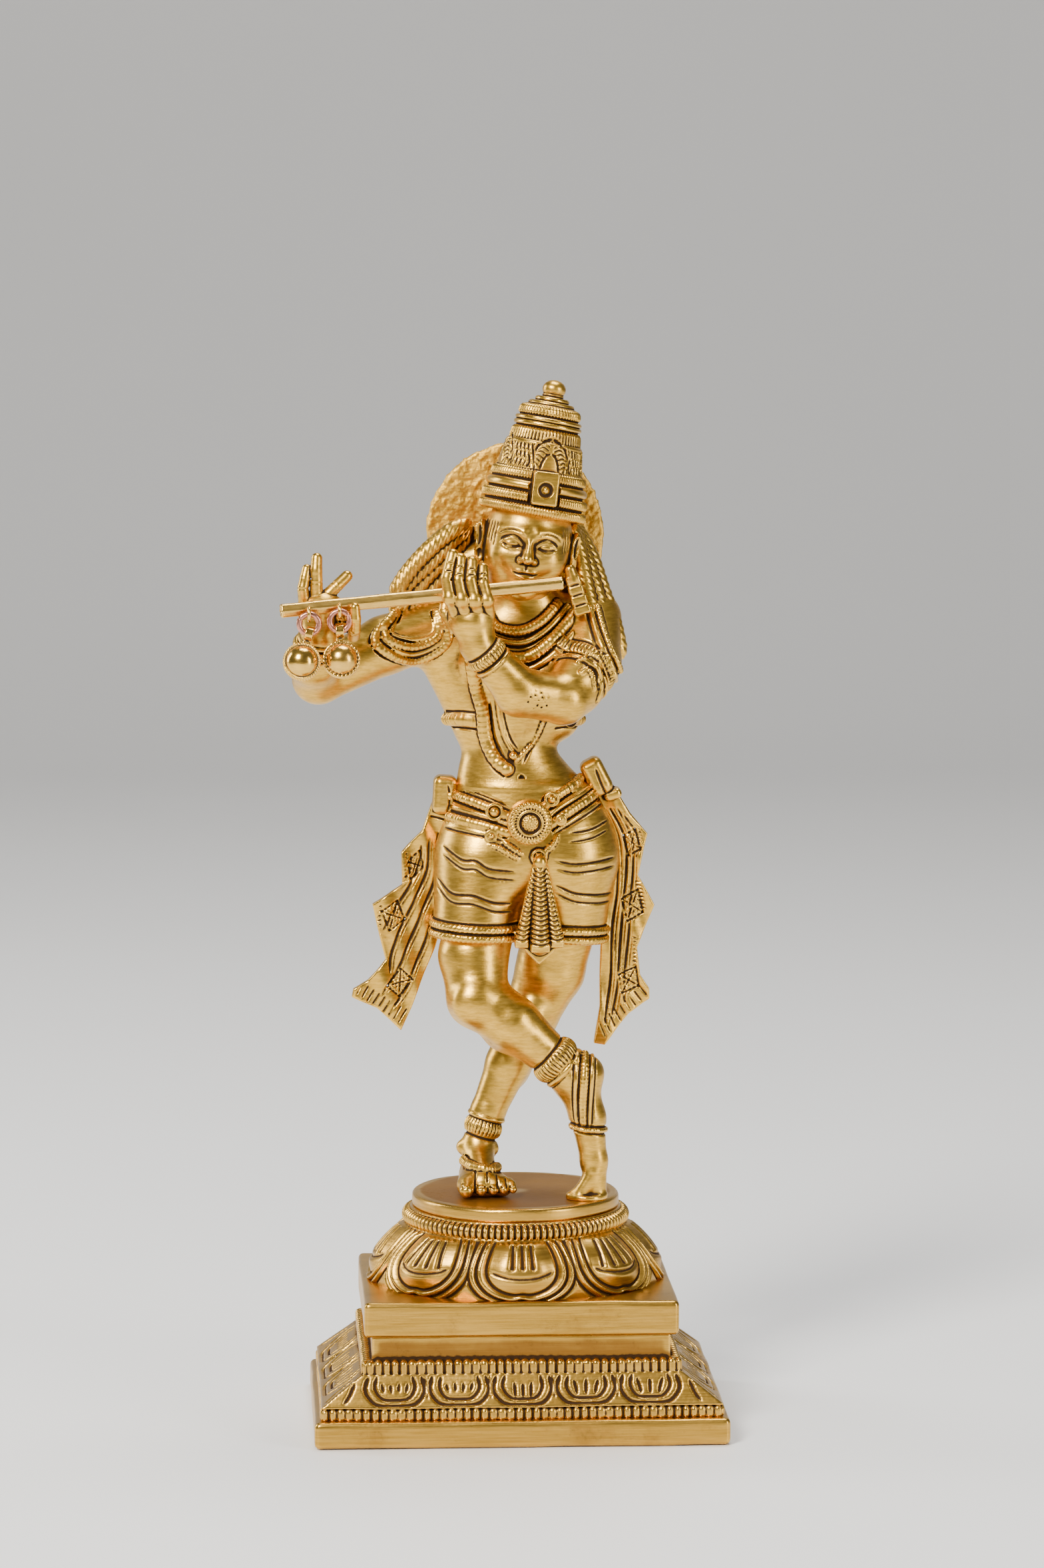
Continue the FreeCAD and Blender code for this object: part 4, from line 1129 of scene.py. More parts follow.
def toe(clay, base, tip, radius):
    """A toe: two joints and a nail."""
    base, tip = np.array(base, float), np.array(tip, float)
    middle = (base + tip) / 2 + np.array([0, 0, radius * 0.25])
    clay.add(bone(base, middle, radius, radius * 0.95), 0.3)
    clay.add(bone(middle, tip, radius * 0.95, radius * 0.82), 0.25)
    line = tip - base
    line /= np.linalg.norm(line)
    place = tip + np.array([0, 0, radius * 0.62]) + line * radius * 0.1
    clay.carve(ring(place, radius * 0.52, 0.2, (0, -0.45, 0.9)), 0.1)


def make_standing_leg():
    clay, region = figure_clay("standing_leg", ["crossing_leg"],
                               (-24, -21, STAND - 0.4), (28, 17, STAND + 80), 0.3)
    for x, half in ((-15.0, 2.6), (-10.6, 2.05), (-7.1, 1.9), (-4.0, 1.75), (-1.3, 1.5)):
        base = up(x * 0.86 - 1.2, -9.0, 4.0)
        tip = up(x, -14.8 + 0.2 * (x + 15.2), 2.3 + half * 0.15)
        toe(clay, base, tip, half)
    # cuts between the toes
    for x in (-12.6, -8.8, -5.5, -2.6):
        cut = clay.drape(curve([up(x * 0.9 - 1.0, -10.8, 12), up(x, -17.0, 12)]), (0, 0, -1), 20.0)
        trace(clay, cut, 0.4, 0.1, cut=True)
    ankle, axis = along("left_ankle", "left_shin", 0.55)
    ribbed_band(clay, ankle, axis, 12, 2.5, 1.0)
    limb_band(clay, ankle, axis, 12, 0.7, 0.0, shift=3.3, cuts=False)
    strap = [(-18.2, 10.6), (-14.4, 9.0), (-9.6, 8.2), (-5.2, 7.8), (-1.6, 8.4)]
    ribbed(clay, front_line(clay, strap, sink=0.3), 1.45, pitch=1.15, depth=0.3)
    clay.trim(lambda x, y, z: STAND - z + 0 * x + 0 * y, 0.3)
    keep(clay, region)
    clay.carve(brick(up(0, 0, 83), (40, 30, 4.5)))
    piece = to_mesh(clay, "standing_leg_cast", wave=0.12)
    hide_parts("standing_leg")


def make_crossing_leg():
    clay, region = figure_clay("crossing_leg", ["standing_leg"],
                               (-26, -25, STAND - 0.4), (29, 9, STAND + 90), 0.3)
    # the toes stand on a thin pad
    clay.add(disc(up(20.2, -13.8, 0.5), 5.9, 0.9, rounding=0.5), 1.6)
    for index, y in enumerate((-16.8, -15.2, -13.6, -12.1, -10.8)):
        tip = up(18.2 + 0.5 * index, y, 1.9)
        clay.add(bone(up(21.8, y * 0.8 - 2.8, 8.0), tip, 2.0, 1.5 - 0.08 * index), 1.4)
    clay.add(bone(up(21.4, -15.6, 5.0), up(15.6, -15.0, 1.2), 1.8, 1.0), 2.4)
    ankle, axis = along("right_calf", "right_ankle", 1.0)
    ribbed_band(clay, ankle + axis * 0.4, axis, 14, 2.9, 1.2, pitch=1.3)
    limb_band(clay, ankle, axis, 14, 0.9, 0.0, shift=4.1, cuts=False)
    # a ribbed strap with plain borders down the foot
    for offset, radius, pitch in ((0.0, 1.15, 1.15), (-2.3, 0.65, 0.0), (2.3, 0.65, 0.0)):
        points = [(19.4 + offset, 44.0), (19.0 + offset, 38.0), (18.6 + offset, 32.0),
                   (18.6 + offset * 0.8, 26.0), (18.9 + offset * 0.7, 21.5)]
        path = front_line(clay, points, sink=0.15)
        trace(clay, path, radius, 0.2, pitch=pitch, depth=0.25, flat=0.85)
    for offset in (-3.3, -1.5, 1.5, 3.3):
        points = [(19.4 + offset, 44.0), (18.7 + offset, 33.0), (18.8 + offset * 0.75, 21.5)]
        trace(clay, front_line(clay, points), 0.33, 0.15, cut=True, taper=1.5)
    limb_band(clay, up(20.6, -14, 21.0), (0.1, 0, 1), 12, 0.8, 1.1)
    clay.trim(lambda x, y, z: STAND - z + 0 * x + 0 * y, 0.2)
    keep(clay, region)
    clay.carve(brick(up(0, 0, 91), (40, 30, 8.5)))
    piece = to_mesh(clay, "crossing_leg_cast", wave=0.14)
    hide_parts("crossing_leg")


def finger(clay, points, radius, blend=0.35):
    """A finger through its joints, thinner to the tip, with a crease at each joint."""
    points = [np.array(p, float) for p in points]
    count = len(points) - 1
    for i in range(count):
        low = radius * (1 - 0.07 * i)
        clay.add(bone(points[i], points[i + 1], low, low * 0.93), blend)
    for i in range(1, count):
        axis = points[i + 1] - points[i - 1]
        axis /= np.linalg.norm(axis)
        clay.carve(ring(points[i], radius * 1.06, 0.36, axis), 0.12)


FLUTE_A = up(-68.5, -32.0, 173.9)
FLUTE_B = up(12.5, -20.0, 180.6)


def on_flute(x):
    return FLUTE_A + (FLUTE_B - FLUTE_A) * (x - FLUTE_A[0]) / (FLUTE_B[0] - FLUTE_A[0])


def make_left_arm():
    clay, region = figure_clay("left_arm", ["torso"], (-25, -40, STAND + 136), (36, 14, STAND + 196), 0.3)
    # hand: the back of it rises from the wrist, and four fingers lie over the flute
    wrist, _ = at("left_wrist")
    clay.add(bone(wrist, up(-13.6, -28.0, 170.4), 4.6, 5.2), 3.0)
    clay.add(egg(up(-14.0, -27.6, 171.6), (6.6, 3.9, 6.8), axes_from((-0.2, 0, 1))), 2.5)
    hand = [
        [(-18.2, -28.8, 173.0), (-20.2, -32.4, 177.6), (-21.0, -32.0, 183.2), (-19.4, -29.6, 189.6)],
        [(-15.2, -29.4, 172.2), (-16.8, -33.0, 177.0), (-17.9, -32.4, 182.6), (-17.2, -30.0, 188.4)],
        [(-12.0, -29.2, 172.0), (-13.2, -32.8, 176.8), (-14.4, -32.2, 182.4), (-14.0, -30.0, 187.6)],
        [(-9.2, -28.6, 172.4), (-9.8, -32.0, 176.8), (-10.9, -31.4, 181.6), (-10.8, -29.4, 185.8)],
    ]
    for index, joints in enumerate(hand):
        radius = (2.2, 2.25, 2.2, 2.0)[index]
        places = [up(*joint) for joint in joints]
        finger(clay, places, radius, 0.2)
        clay.add(ball(places[1], radius * 1.08), 0.5)
        for share in (0.35, 0.7):
            place = places[2] + (places[3] - places[2]) * share - (0, radius * 0.95, 0)
            trace(clay, np.array([place - (1.1, -0.3, 0.1),
                  place + (1.1, 0.3, -0.1)]), 0.22, 0.1, cut=True)
    for left, right in zip(hand, hand[1:]):
        groove = [(up(*p) + up(*q)) / 2 - (0, 1.2, 0) for p, q in zip(left, right)]
        trace(clay, curve(groove[1:], step=0.5), 0.35, 0.15, cut=True, taper=1.0)
    finger(clay, [up(-18.6, -26.4, 168.6), up(-21.4, -24.8, 173.0), up(-20.8, -23.4, 177.0)], 2.1)
    # bracelet, and a thin one above it
    place, axis = along("left_forearm", "left_wrist", 0.80)
    ribbed_band(clay, place, axis, 12, 1.9, 1.0)
    limb_band(clay, place, axis, 12, 0.6, 0.0, shift=-3.0, cuts=False)
    # armlet of ribbed rings with a leaf on the outside
    place, axis = along("left_upper_arm", "left_elbow", 0.15)
    ribbed_band(clay, place + axis * 1.2, axis, 18, 2.4, 1.0, pitch=1.3)
    limb_band(clay, place, axis, 18, 0.8, 0.0, shift=4.9)
    for arch in ([(16.8, 157.8), (19.6, 159.0), (22.6, 156.4), (23.8, 151.0), (22.8, 146.6)],
                 [(17.6, 155.0), (19.6, 156.0), (21.2, 153.8), (21.8, 150.0)]):
        trace(clay, front_line(clay, arch, sink=0.1), 0.75, 0.25)
        fold_line(clay, [(x + 1.1, h + 0.3) for x, h in arch], 0.34)
    for step in range(7):
        share = step / 6
        foot = (18.2 + 3.8 * share, 155.6 - 5.6 * share ** 1.5)
        fold_line(clay, [foot, (foot[0] + 1.9, foot[1] + 1.7 - 1.9 * share)], 0.24)
    # a ridge round the shoulder
    ridge = [(21.4, 172.0), (23.6, 164.0), (27.0, 156.0), (28.6, 151.5)]
    trace(clay, front_line(clay, ridge, sink=0.1), 0.95, 0.3, flat=0.85)
    fold_line(clay, [(x - 1.4, h - 0.4) for x, h in ridge], 0.42)
    trace(clay, front_line(clay, [(x + 2.0, h + 0.6)
          for x, h in ridge], sink=0.1), 0.95, 0.2, pitch=1.2, depth=0.35)
    fold_line(clay, [(x + 1.0, h + 0.3) for x, h in ridge], 0.35)
    # casting pits in the bend of the elbow
    for index in range(16):
        x = 5.2 + 3.2 * math.sin(index * 2.4) * (index / 16) ** 0.5
        h = 147.7 + 3.2 * math.cos(index * 2.4) * (index / 16) ** 0.5
        pit = front_line(clay, [(x, h), (x + 0.1, h)])[0]
        clay.carve(ball(pit, 0.3 + 0.12 * math.sin(index * 5.1)), 0.1)
    keep(clay, region)
    clay.carve(bone(FLUTE_A, FLUTE_B, 2.1, 2.1))
    piece = to_mesh(clay, "left_arm_cast", wave=0.1)
    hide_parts("left_arm")


def make_right_arm():
    clay, region = figure_clay("right_arm", ["torso"], (-70, -40,
                               STAND + 140), (-4, 14, STAND + 194), 0.28)
    wrist, _ = at("right_wrist")
    # the palm stands behind the flute; fingers are placed by how far they rise above the flute's middle
    palm = on_flute(-56.6) + (0, 6.2, -1.6)
    clay.add(bone(wrist, palm, 4.6, 5.2), 2.5)
    clay.add(egg(palm, (7.2, 3.4, 5.0)), 2.0)
    hand = [
        ([(-58.2, 6.0, 1.5), (-58.2, 5.4, 6.8), (-58.2, 5.2, 10.2), (-58.0, 6.0, 13.6)], 2.0),
        ([(-61.6, 6.2, 0.5), (-62.0, 5.6, 5.4), (-61.4, 5.8, 8.4), (-60.9, 6.4, 10.8)], 1.75),
        ([(-55.4, 6.2, 2.4), (-52.4, 5.6, 5.0), (-49.4, 6.2, 7.6)], 1.9),
        ([(-47.6, 3.0, -9.4), (-47.4, -1.6, -7.4), (-47.2, -3.4, -4.2), (-47.4, -3.6, -0.8)], 1.85),
    ]
    for joints, radius in hand:
        finger(clay, [on_flute(x) + (0, y, rise) for x, y, rise in joints], radius)
    for rise in (-3.4, -6.6):
        finger(clay, [on_flute(x) + (0, y, rise)
               for x, y in ((-53.4, 5.6), (-51.0, 2.4), (-49.8, 3.0))], 1.9)
    place, axis = along("right_forearm", "right_wrist", 0.62)
    limb_band(clay, place, axis, 12, 1.4, 1.2)
    limb_band(clay, place, axis, 12, 0.7, 0.0, shift=2.6, cuts=False)
    place, axis = along("right_shoulder", "right_upper_arm", 0.72)
    # the shoulder's ornament: crescents of ribbed cord that hang over the front of the arm
    for reach, wire, pitch in ((4.4, 0.7, 0.0), (6.6, 1.15, 1.2), (8.8, 0.75, 0.0), (11.0, 1.3, 1.3)):
        points = [
            (-33.0 - 0.25 * reach, 171.0),
            (-33.4 - reach * 0.7, 167.2 - reach * 0.35),
            (-30.5, 168.2 - reach),
            (-27.0 + reach * 0.62, 167.6 - reach * 0.45),
            (-25.4 + 0.35 * reach, 171.6),
        ]
        path = front_line(clay, points, sink=0.2)
        if pitch:
            ribbed(clay, path, wire, pitch=pitch, depth=0.3)
        else:
            trace(clay, path, wire, 0.25, flat=0.8)
    keep(clay, region)
    clay.carve(bone(FLUTE_A, FLUTE_B, 2.1, 2.1))
    piece = to_mesh(clay, "right_arm_cast", wave=0.1)
    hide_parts("right_arm")


# ---------------------------------------------------------------- head, hair, crown and halo

HEAD = up(3.2, -4.6, 191.5)
HEAD_LEAN = math.radians(9.0)
HEAD_AXES = axes_from((math.sin(HEAD_LEAN), 0, math.cos(HEAD_LEAN)))
CROWN_FOOT = up(4.0, -3.6, 196.5)
CROWN_LEAN = math.radians(10.5)
CROWN_TILT = math.radians(3.0)
CROWN_AXES = axes_from((math.sin(CROWN_LEAN) * math.cos(CROWN_TILT), math.sin(CROWN_TILT),
                        math.cos(CROWN_LEAN) * math.cos(CROWN_TILT)))


def on_head(side, front, rise):
    """A place on the head: side is towards the figure's left."""
    return HEAD + HEAD_AXES.T @ np.array([-side, front, rise])


def on_crown(side, front, rise):
    return CROWN_FOOT + CROWN_AXES.T @ np.array([-side, front, rise])


def head_forms():
    forms = [(egg(HEAD, (13.0, 13.6, 16.4), HEAD_AXES), 0)]
    forms.append((egg(on_head(0, 3.2, -7.6), (9.8, 9.8, 8.6), HEAD_AXES), 4.0))
    forms.append((egg(on_head(0, 9.6, -13.6), (4.2, 3.6, 3.0), HEAD_AXES), 3.0))
    for side in (-1, 1):
        forms.append((egg(on_head(side * 6.4, 7.8, -4.4), (4.0, 4.2, 4.4), HEAD_AXES), 3.0))
        forms.append((bone(on_head(side * 8.2, 9.4, 3.0), on_head(side * 2.0, 12.4, 3.2), 1.2, 1.3), 1.8))
    return forms


def eye(clay, side):
    """A calm half-closed eye: socket, ball, two lids and the line between them."""
    clay.carve(egg(on_head(side * 5.1, 14.6, -0.2), (4.0, 2.8, 2.5), HEAD_AXES), 1.2)
    clay.add(egg(on_head(side * 5.0, 10.4, -0.4), (3.1, 2.3, 2.0), HEAD_AXES), 0.3)
    corners = ((1.9, -0.9), (3.2, 0.5), (5.0, 1.15), (6.9, 0.6), (8.4, -0.5))
    upper = curve([on_head(side * x, 20, w) for x, w in corners])
    lower = curve([on_head(side * x, 20, w)
                  for x, w in ((1.9, -0.9), (3.3, -1.7), (5.0, -2.1), (6.8, -1.7), (8.4, -0.5))])
    middle = curve([on_head(side * x, 20, w)
                   for x, w in ((2.3, -0.95), (3.6, -1.0), (5.0, -0.95), (6.6, -0.8), (8.0, -0.5))])
    fold = curve([on_head(side * x, 20, w + 1.05) for x, w in corners])
    brow = curve([on_head(side * x, 20, w)
                 for x, w in ((1.7, 2.2), (3.4, 3.4), (5.4, 3.8), (7.6, 3.2), (9.4, 1.8))])
    back = -HEAD_AXES[1]
    for line, radius, cut in ((upper, 0.42, False), (lower, 0.36, False),
                              (middle, 0.3, True), (fold, 0.26, True), (brow, 0.3, True)):
        path = clay.drape(line, back)
        trace(clay, path, radius, 0.2, cut=cut, taper=1.2)
    clay.carve(ball(clay.drape([on_head(side * 1.9, 20, -1.0)], back)[0], 0.38), 0.15)


def ear(clay, side):
    """A long ear: a rim round a hollow, and a heavy lobe."""
    tilt = axes_from(HEAD_AXES[2] + 0.1 * np.array([side, 0, 0]), (0.35 * side, -1, 0))
    place = on_head(side * 13.4, 2.2, 0.2)
    clay.add(egg(place, (1.7, 2.9, 4.8), tilt), 0.6)
    clay.add(egg(place - HEAD_AXES[2] * 5.0, (1.5, 2.0, 3.0), tilt), 0.8)
    clay.carve(egg(place + np.array([side * 1.2, -1.8, 0.2]), (1.2, 1.6, 3.2), tilt), 0.4)
    clay.carve(egg(place + np.array([side * 0.8, -1.6, -5.4]), (1.2, 0.7, 1.7), tilt), 0.3)


def make_head():
    clay = Clay(HEAD - (18, 19, 19), HEAD + (18, 17, 15), 0.26)
    for form, blend in head_forms():
        clay.add(form, blend)
    clay.add(bone(up(3.0, -0.6, 174), on_head(0, -1.4, -9), 6.8, 6.6), 3.0)
    # nose: bridge, tip and wings
    clay.add(bone(on_head(0, 12.4, 2.4), on_head(0, 14.6, -3.6), 1.15, 1.5), 1.2)
    clay.add(egg(on_head(0, 14.9, -4.2), (1.7, 1.75, 1.4), HEAD_AXES), 0.8)
    for side in (-1, 1):
        clay.add(egg(on_head(side * 1.95, 13.4, -4.7), (1.15, 1.4, 1.0), HEAD_AXES), 0.6)
        clay.carve(ball(on_head(side * 0.95, 14.2, -5.9), 0.4), 0.3)
        trace(clay, clay.drape(curve([on_head(side *
    2.9, 20, -
    3.6), on_head(side *
    3.4, 20, -
    4.9), on_head(side *
    2.9, 20, -
    5.7)]), -
    HEAD_AXES[1]), 0.26, 0.3, cut=True, taper=0.8)
        eye(clay, side)
        ear(clay, side)
    # lips, a faint smile
    for side in (-1, 1):
        clay.add(egg(on_head(side * 1.35, 12.1, -7.75), (2.1, 1.7, 0.8), HEAD_AXES), 0.5)
    clay.add(egg(on_head(0, 12.0, -9.5), (2.9, 1.8, 1.05), HEAD_AXES), 0.5)
    line = [(-3.9, -8.1), (-2.2, -8.65), (0, -8.5), (2.2, -8.65), (3.9, -8.1)]
    trace(clay, clay.drape(curve([on_head(x, 20, w) for x, w in line],
          step=0.3), -HEAD_AXES[1]), 0.32, 0.2, cut=True, taper=0.8)
    trace(clay, clay.drape(curve([on_head(0, 20, -6.2), on_head(0, 20, -7.2)],
          step=0.2), -HEAD_AXES[1]), 0.35, 0.4, cut=True)
    clay.carve(egg(on_head(0, 13.2, -11.5), (2.4, 1.2, 0.8), HEAD_AXES), 0.9)
    # hair at the temples, cut in fine strands below the turban
    for side in (-1, 1):
        for step in range(4):
            x = side * (10.0 + 0.75 * step)
            line = curve([on_head(x * 0.97, 20 - 2 * step, 5.4), on_head(x, 20 - 2 * step, 2.0),
                          on_head(x * 1.02, 20 - 2 * step, -2.0 + 0.6 * step)])
            trace(clay, clay.drape(line, -HEAD_AXES[1]), 0.3, 0.1, cut=True, taper=1.0)
    clay.carve(bone(FLUTE_A, FLUTE_B, 2.1, 2.1))
    clay.carve(brick(up(3, 0, 165), (30, 30, 10)))
    piece = to_mesh(clay, "head_cast", smooth=1)
    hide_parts("head")


def crown_ring(low, high, radius_low, radius_high, ribs=0, depth=0.3, rounding=1.0):
    """A ring of the crown, between two heights along its axis, ribbed across if ribs are given."""
    middle, half = (low + high) / 2, (high - low) / 2

    def field(x, y, z):
        u, v, w = turned(CROWN_AXES, CROWN_FOOT, x, y, z)
        t = np.clip((w - low) / (high - low), 0, 1)
        p = np.sqrt(u * u + v * v) - (radius_low + (radius_high - radius_low) * t) + rounding
        q = np.abs(w - middle) - half + rounding
        d = np.sqrt(np.maximum(p, 0) ** 2 + np.maximum(q, 0) ** 2) + \
                    np.minimum(np.maximum(p, q), 0) - rounding
        if ribs:
            angle = np.arctan2(v, u) * ribs / (2 * math.pi)
            gap = (angle - np.round(angle)) * 2 * math.pi * radius_low / ribs
            d = d + depth * np.exp(-(gap / (0.32 * 2 * math.pi * radius_low / ribs))
                                   ** 2) * smooth_step(-1.4, -0.2, d)
        return d
    place = CROWN_FOOT + CROWN_AXES[2] * middle
    reach = max(radius_low, radius_high) + half
    return field, place - reach, place + reach


CROWN_DRAW_RADIUS = 20.0


def crown_line(clay, points, radius, taper=0.8):
    """A line cut over the crown through (angle from the front in degrees, height) places."""
    flat = curve([(a, h, 0) for a, h in points], step=2.0)
    out = []
    for angle, height, _ in flat:
        turn = math.radians(angle)
        out.append(
    on_crown(
        CROWN_DRAW_RADIUS *
        math.sin(turn),
        CROWN_DRAW_RADIUS *
        math.cos(turn),
         height))
    out = np.array(out)
    axis_points = np.array([on_crown(0, 0, height) for _, height, _ in flat])
    toward = axis_points - out
    toward /= np.linalg.norm(toward, axis=1)[:, None]
    path = np.vstack([clay.drape([p], t) for p, t in zip(out, toward)])
    trace(clay, path, radius, 0.12, cut=True, taper=taper)


CROWN_RINGS = [
    # low, high, radius at each, ribs
    (2.6, 5.6, 15.7, 15.9, 110),
    (6.1, 9.2, 15.7, 15.5, 104),
    (9.7, 12.3, 15.0, 14.7, 0),
    (12.7, 15.8, 14.3, 13.7, 96),
    (23.4, 28.0, 10.8, 10.1, 62),
    (28.3, 29.6, 10.0, 9.9, 0),
    (29.8, 31.0, 9.8, 9.7, 0),
    (31.2, 34.4, 9.4, 8.9, 58),
    (34.3, 35.8, 6.9, 6.6, 0),
    (35.8, 37.2, 5.1, 4.9, 0),
    (37.0, 38.4, 3.2, 2.6, 0),
]
CREST_LEAVES = 4
LEAF_FOOT = 16.0
CREST_TOP = 25.4


def make_crown():
    tip = on_crown(0, 0, 43)
    low = np.minimum(CROWN_FOOT - (18, 18, 4), tip - 6)
    high = np.maximum(CROWN_FOOT + (18, 18, 4), tip + 5)
    clay = Clay(low, high, 0.21)
    clay.add(crown_ring(2.8, 15.6, 14.6, 13.0))
    clay.add(crown_ring(14.0, 24.2, 12.9, 11.2))
    clay.add(crown_ring(23.0, 34.6, 9.8, 8.0))
    for low_w, high_w, ra, rb, ribs in CROWN_RINGS:
        clay.add(
    crown_ring(
        low_w,
        high_w,
        ra,
        rb,
        ribs,
        depth=0.36,
        rounding=min(
            1.25,
            (high_w - low_w) / 2 - 0.05)),
             0.12)
    clay.add(egg(on_crown(0, 0, 39.6), (3.4, 3.4, 2.7), CROWN_AXES), 0.3)
    clay.add(ring(on_crown(0, 0, 37.7), 2.6, 0.5, CROWN_AXES[2]), 0.2)
    # pointed leaves round the middle, feathered, with cross-hatching between them
    rise = CREST_TOP - LEAF_FOOT
    for leaf in range(CREST_LEAVES):
        turn = leaf * 360 / CREST_LEAVES + 9
        between = turn + 180 / CREST_LEAVES
        for shift in range(-3, 4):
            for slope in (-1, 1):
                crown_line(clay, [(between + shift * 6.5 + slope * 5, LEAF_FOOT + 0.3),
                                  (between + shift * 6.5 - slope * 5, LEAF_FOOT + 7.0)], 0.27, taper=0)
        for half, share, radius in ((32.0, 1.0, 0.5), (13.0, 0.55, 0.42)):
            for side in (-1, 1):
                top = LEAF_FOOT + rise * share
                outline = [(turn +
    side *
    half, LEAF_FOOT), (turn +
    side *
    half *
    0.92, LEAF_FOOT +
    rise *
    share *
    0.36), (turn +
    side *
    half *
    0.58, LEAF_FOOT +
    rise *
    share *
     0.78), (turn, top)]
                crown_line(clay, outline, radius)
        for side in (-1, 1):
            for step in range(6):
                h = LEAF_FOOT + 0.6 + step * 1.15
                share = (h - LEAF_FOOT) / rise
                outer = 30.0 * (1 - share ** 2.2)
                inner = max(2.0, 14.0 * (1 - (share / 0.5) ** 2)) if share < 0.5 else 2.0
                crown_line(clay, [(turn + side * inner, h + 0.2), (turn + side * (inner + \
                           outer) / 2, h + 1.3), (turn + side * outer * 0.93, h + 0.5)], 0.27)
    # the clasp: a square plate with a ring and a dot
    rows = axes_from(CROWN_AXES[2] + np.array([-0.06, 0, 0]), (0.12, -1, 0))
    place = on_crown(1.6, 15.0, 10.8)
    clay.carve(brick(place + (0, 0.3, 0), (4.7, 1.4, 5.0), 0.6, rows), 0.2)
    clay.add(brick(place + (0, 0.4, 0), (3.75, 1.9, 4.9), 0.7, rows), 0.15)
    face_point = place + rows[1] * 1.6 - rows[2] * 0.4
    clay.carve(ring(face_point, 1.6, 0.72, rows[1]), 0.08)
    clay.add(ball(face_point - rows[1] * 0.5, 0.85), 0.08)
    piece = to_mesh(clay, "crown_cast", smooth=1)
    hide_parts("crown")


HALO = up(1.0, 13.0, 193.2)
HALO_RADIUS = 26.4


def make_halo():
    clay = Clay(HALO - (29, 11, 29), HALO + (29, 5, 29), 0.32)
    clay.add(disc(HALO + (0, 1.2, 0), HALO_RADIUS - 0.4, 1.25, (0, 1, 0), rounding=0.9))
    clay.add(bone(HALO + (0, -3.4, 0), HALO + (1, -6, 0), 5.0, 4.2), 1.2)
    piece = to_mesh(
    clay,
    "halo_cast",
    finish="halo_brass",
    rough=0.36,
    rough_scale=1.6,
    wave=0.6,
     smooth=1)
    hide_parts("halo_disc")


def strand(clay, points, radius=1.7, pitch=1.7, depth=0.45, outward=(0, -1, 0)):
    """A twisted rope of hair."""
    path = curve([up(*p) for p in points], step=0.5)
    trace(clay, path, radius, 0.25, pitch=pitch, depth=depth, slant=0.9, taper=2.5, outward=outward)


def make_hair():
    """Twisted strands: over both shoulders, and down the back below the turban."""
    clay = Clay(up(-41, -17, 148), up(36, 22, 203), 0.3)
    clay.add(egg(up(2.6, 4.0, 190), (13.0, 11.0, 13.0)), 0)
    clay.add(bone(up(2.8, 5.4, 186), up(2.8, 8.8, 172), 12.0, 8.6), 4.0)
    clay.add(bone(up(-8, 3.0, 188), up(-22, 2.4, 182), 4.4, 4.2), 3.0)
    clay.add(bone(up(-22, 2.0, 182), up(-32, -0.6, 176), 4.4, 3.0), 3.0)
    clay.add(bone(up(13, 4.0, 188), up(24.0, 1.0, 174), 4.0, 4.2), 3.0)
    for row in range(4):
        drop = row * 3.9
        sway = 0.6 * math.sin(row * 2.3)
        points = [
            (-13.2, 1.0 + row * 1.4, 196.6 - drop * 0.3),
            (-18.6, -2.6 + row * 1.3, 194.6 - drop * 0.8 + sway),
            (-25.0, -4.4 + row * 1.0, 189.6 - drop - sway),
            (-31.4, -5.4 + row * 1.0, 182.6 - drop * 0.9 + sway),
            (-35.6 + sway, -6.2 + row * 0.8, 176.0 - drop * 0.55),
        ]
        strand(clay, points, 2.25, pitch=2.0 + 0.1 * row, depth=0.6)
    for row in range(3):
        sway = 0.5 * math.sin(row * 2.9 + 1)
        strand(clay, [(16.0 +
    0.6 *
    row, 0.4 +
    row *
    1.8, 196.0), (18.6 +
    row *
    1.7, -
    1.8 +
    row *
    1.8, 186.6 +
    sway), (20.6 +
    row *
    2.4, -
    4.4 +
    row *
    2.0, 177.0 -
    sway), (23.2 +
    row *
    2.8, -
    6.4 +
    row *
    2.2, 166.6), (25.4 +
    row *
    2.5 +
    sway, -
    6.6 +
    row *
    2.4, 156.6 +
    row *
    0.4)], 2.2, pitch=2.0 +
    0.12 *
     row, depth=0.6)
    for index in range(11):
        turn = math.radians(-78 + index * 15.6)
        side, back = math.sin(turn), math.cos(turn)
        strand(clay, [(2.6 +
    13.6 *
    side, 0.4 +
    13.4 *
    back, 196.0), (2.8 +
    14.0 *
    side, 1.6 +
    13.6 *
    back, 187.0), (2.8 +
    12.4 *
    side, 4.6 +
    11.6 *
    back, 178.0), (2.8 +
    10.6 *
    side, 6.0 +
    10.0 *
    back, 170.0), (2.8 +
    9.4 *
    side, 6.6 +
    8.0 *
    back, 162.5 -
    2.0 *
     back)], 2.0, outward=(0, 1, 0))
    # nothing of the hair shows in front of the face or inside the turban
    clay.carve(egg(on_head(0, 6.5, -1.0), (13.0, 13.6, 19.0), HEAD_AXES), 0.3)
    clay.carve(crown_ring(3.4, 15.0, 14.2, 12.8), 0.2)
    to_mesh(clay, "hair_strands", smooth=1)


DROPS = {
    # x, y, height of the top, lean in degrees, length and width
    "left_ear_drop": (14.8, -10.4, 185.2, 17.0, 15.6, 4.7),
    "right_ear_drop": (-12.2, -8.6, 184.6, -7.0, 12.5, 3.8),
}


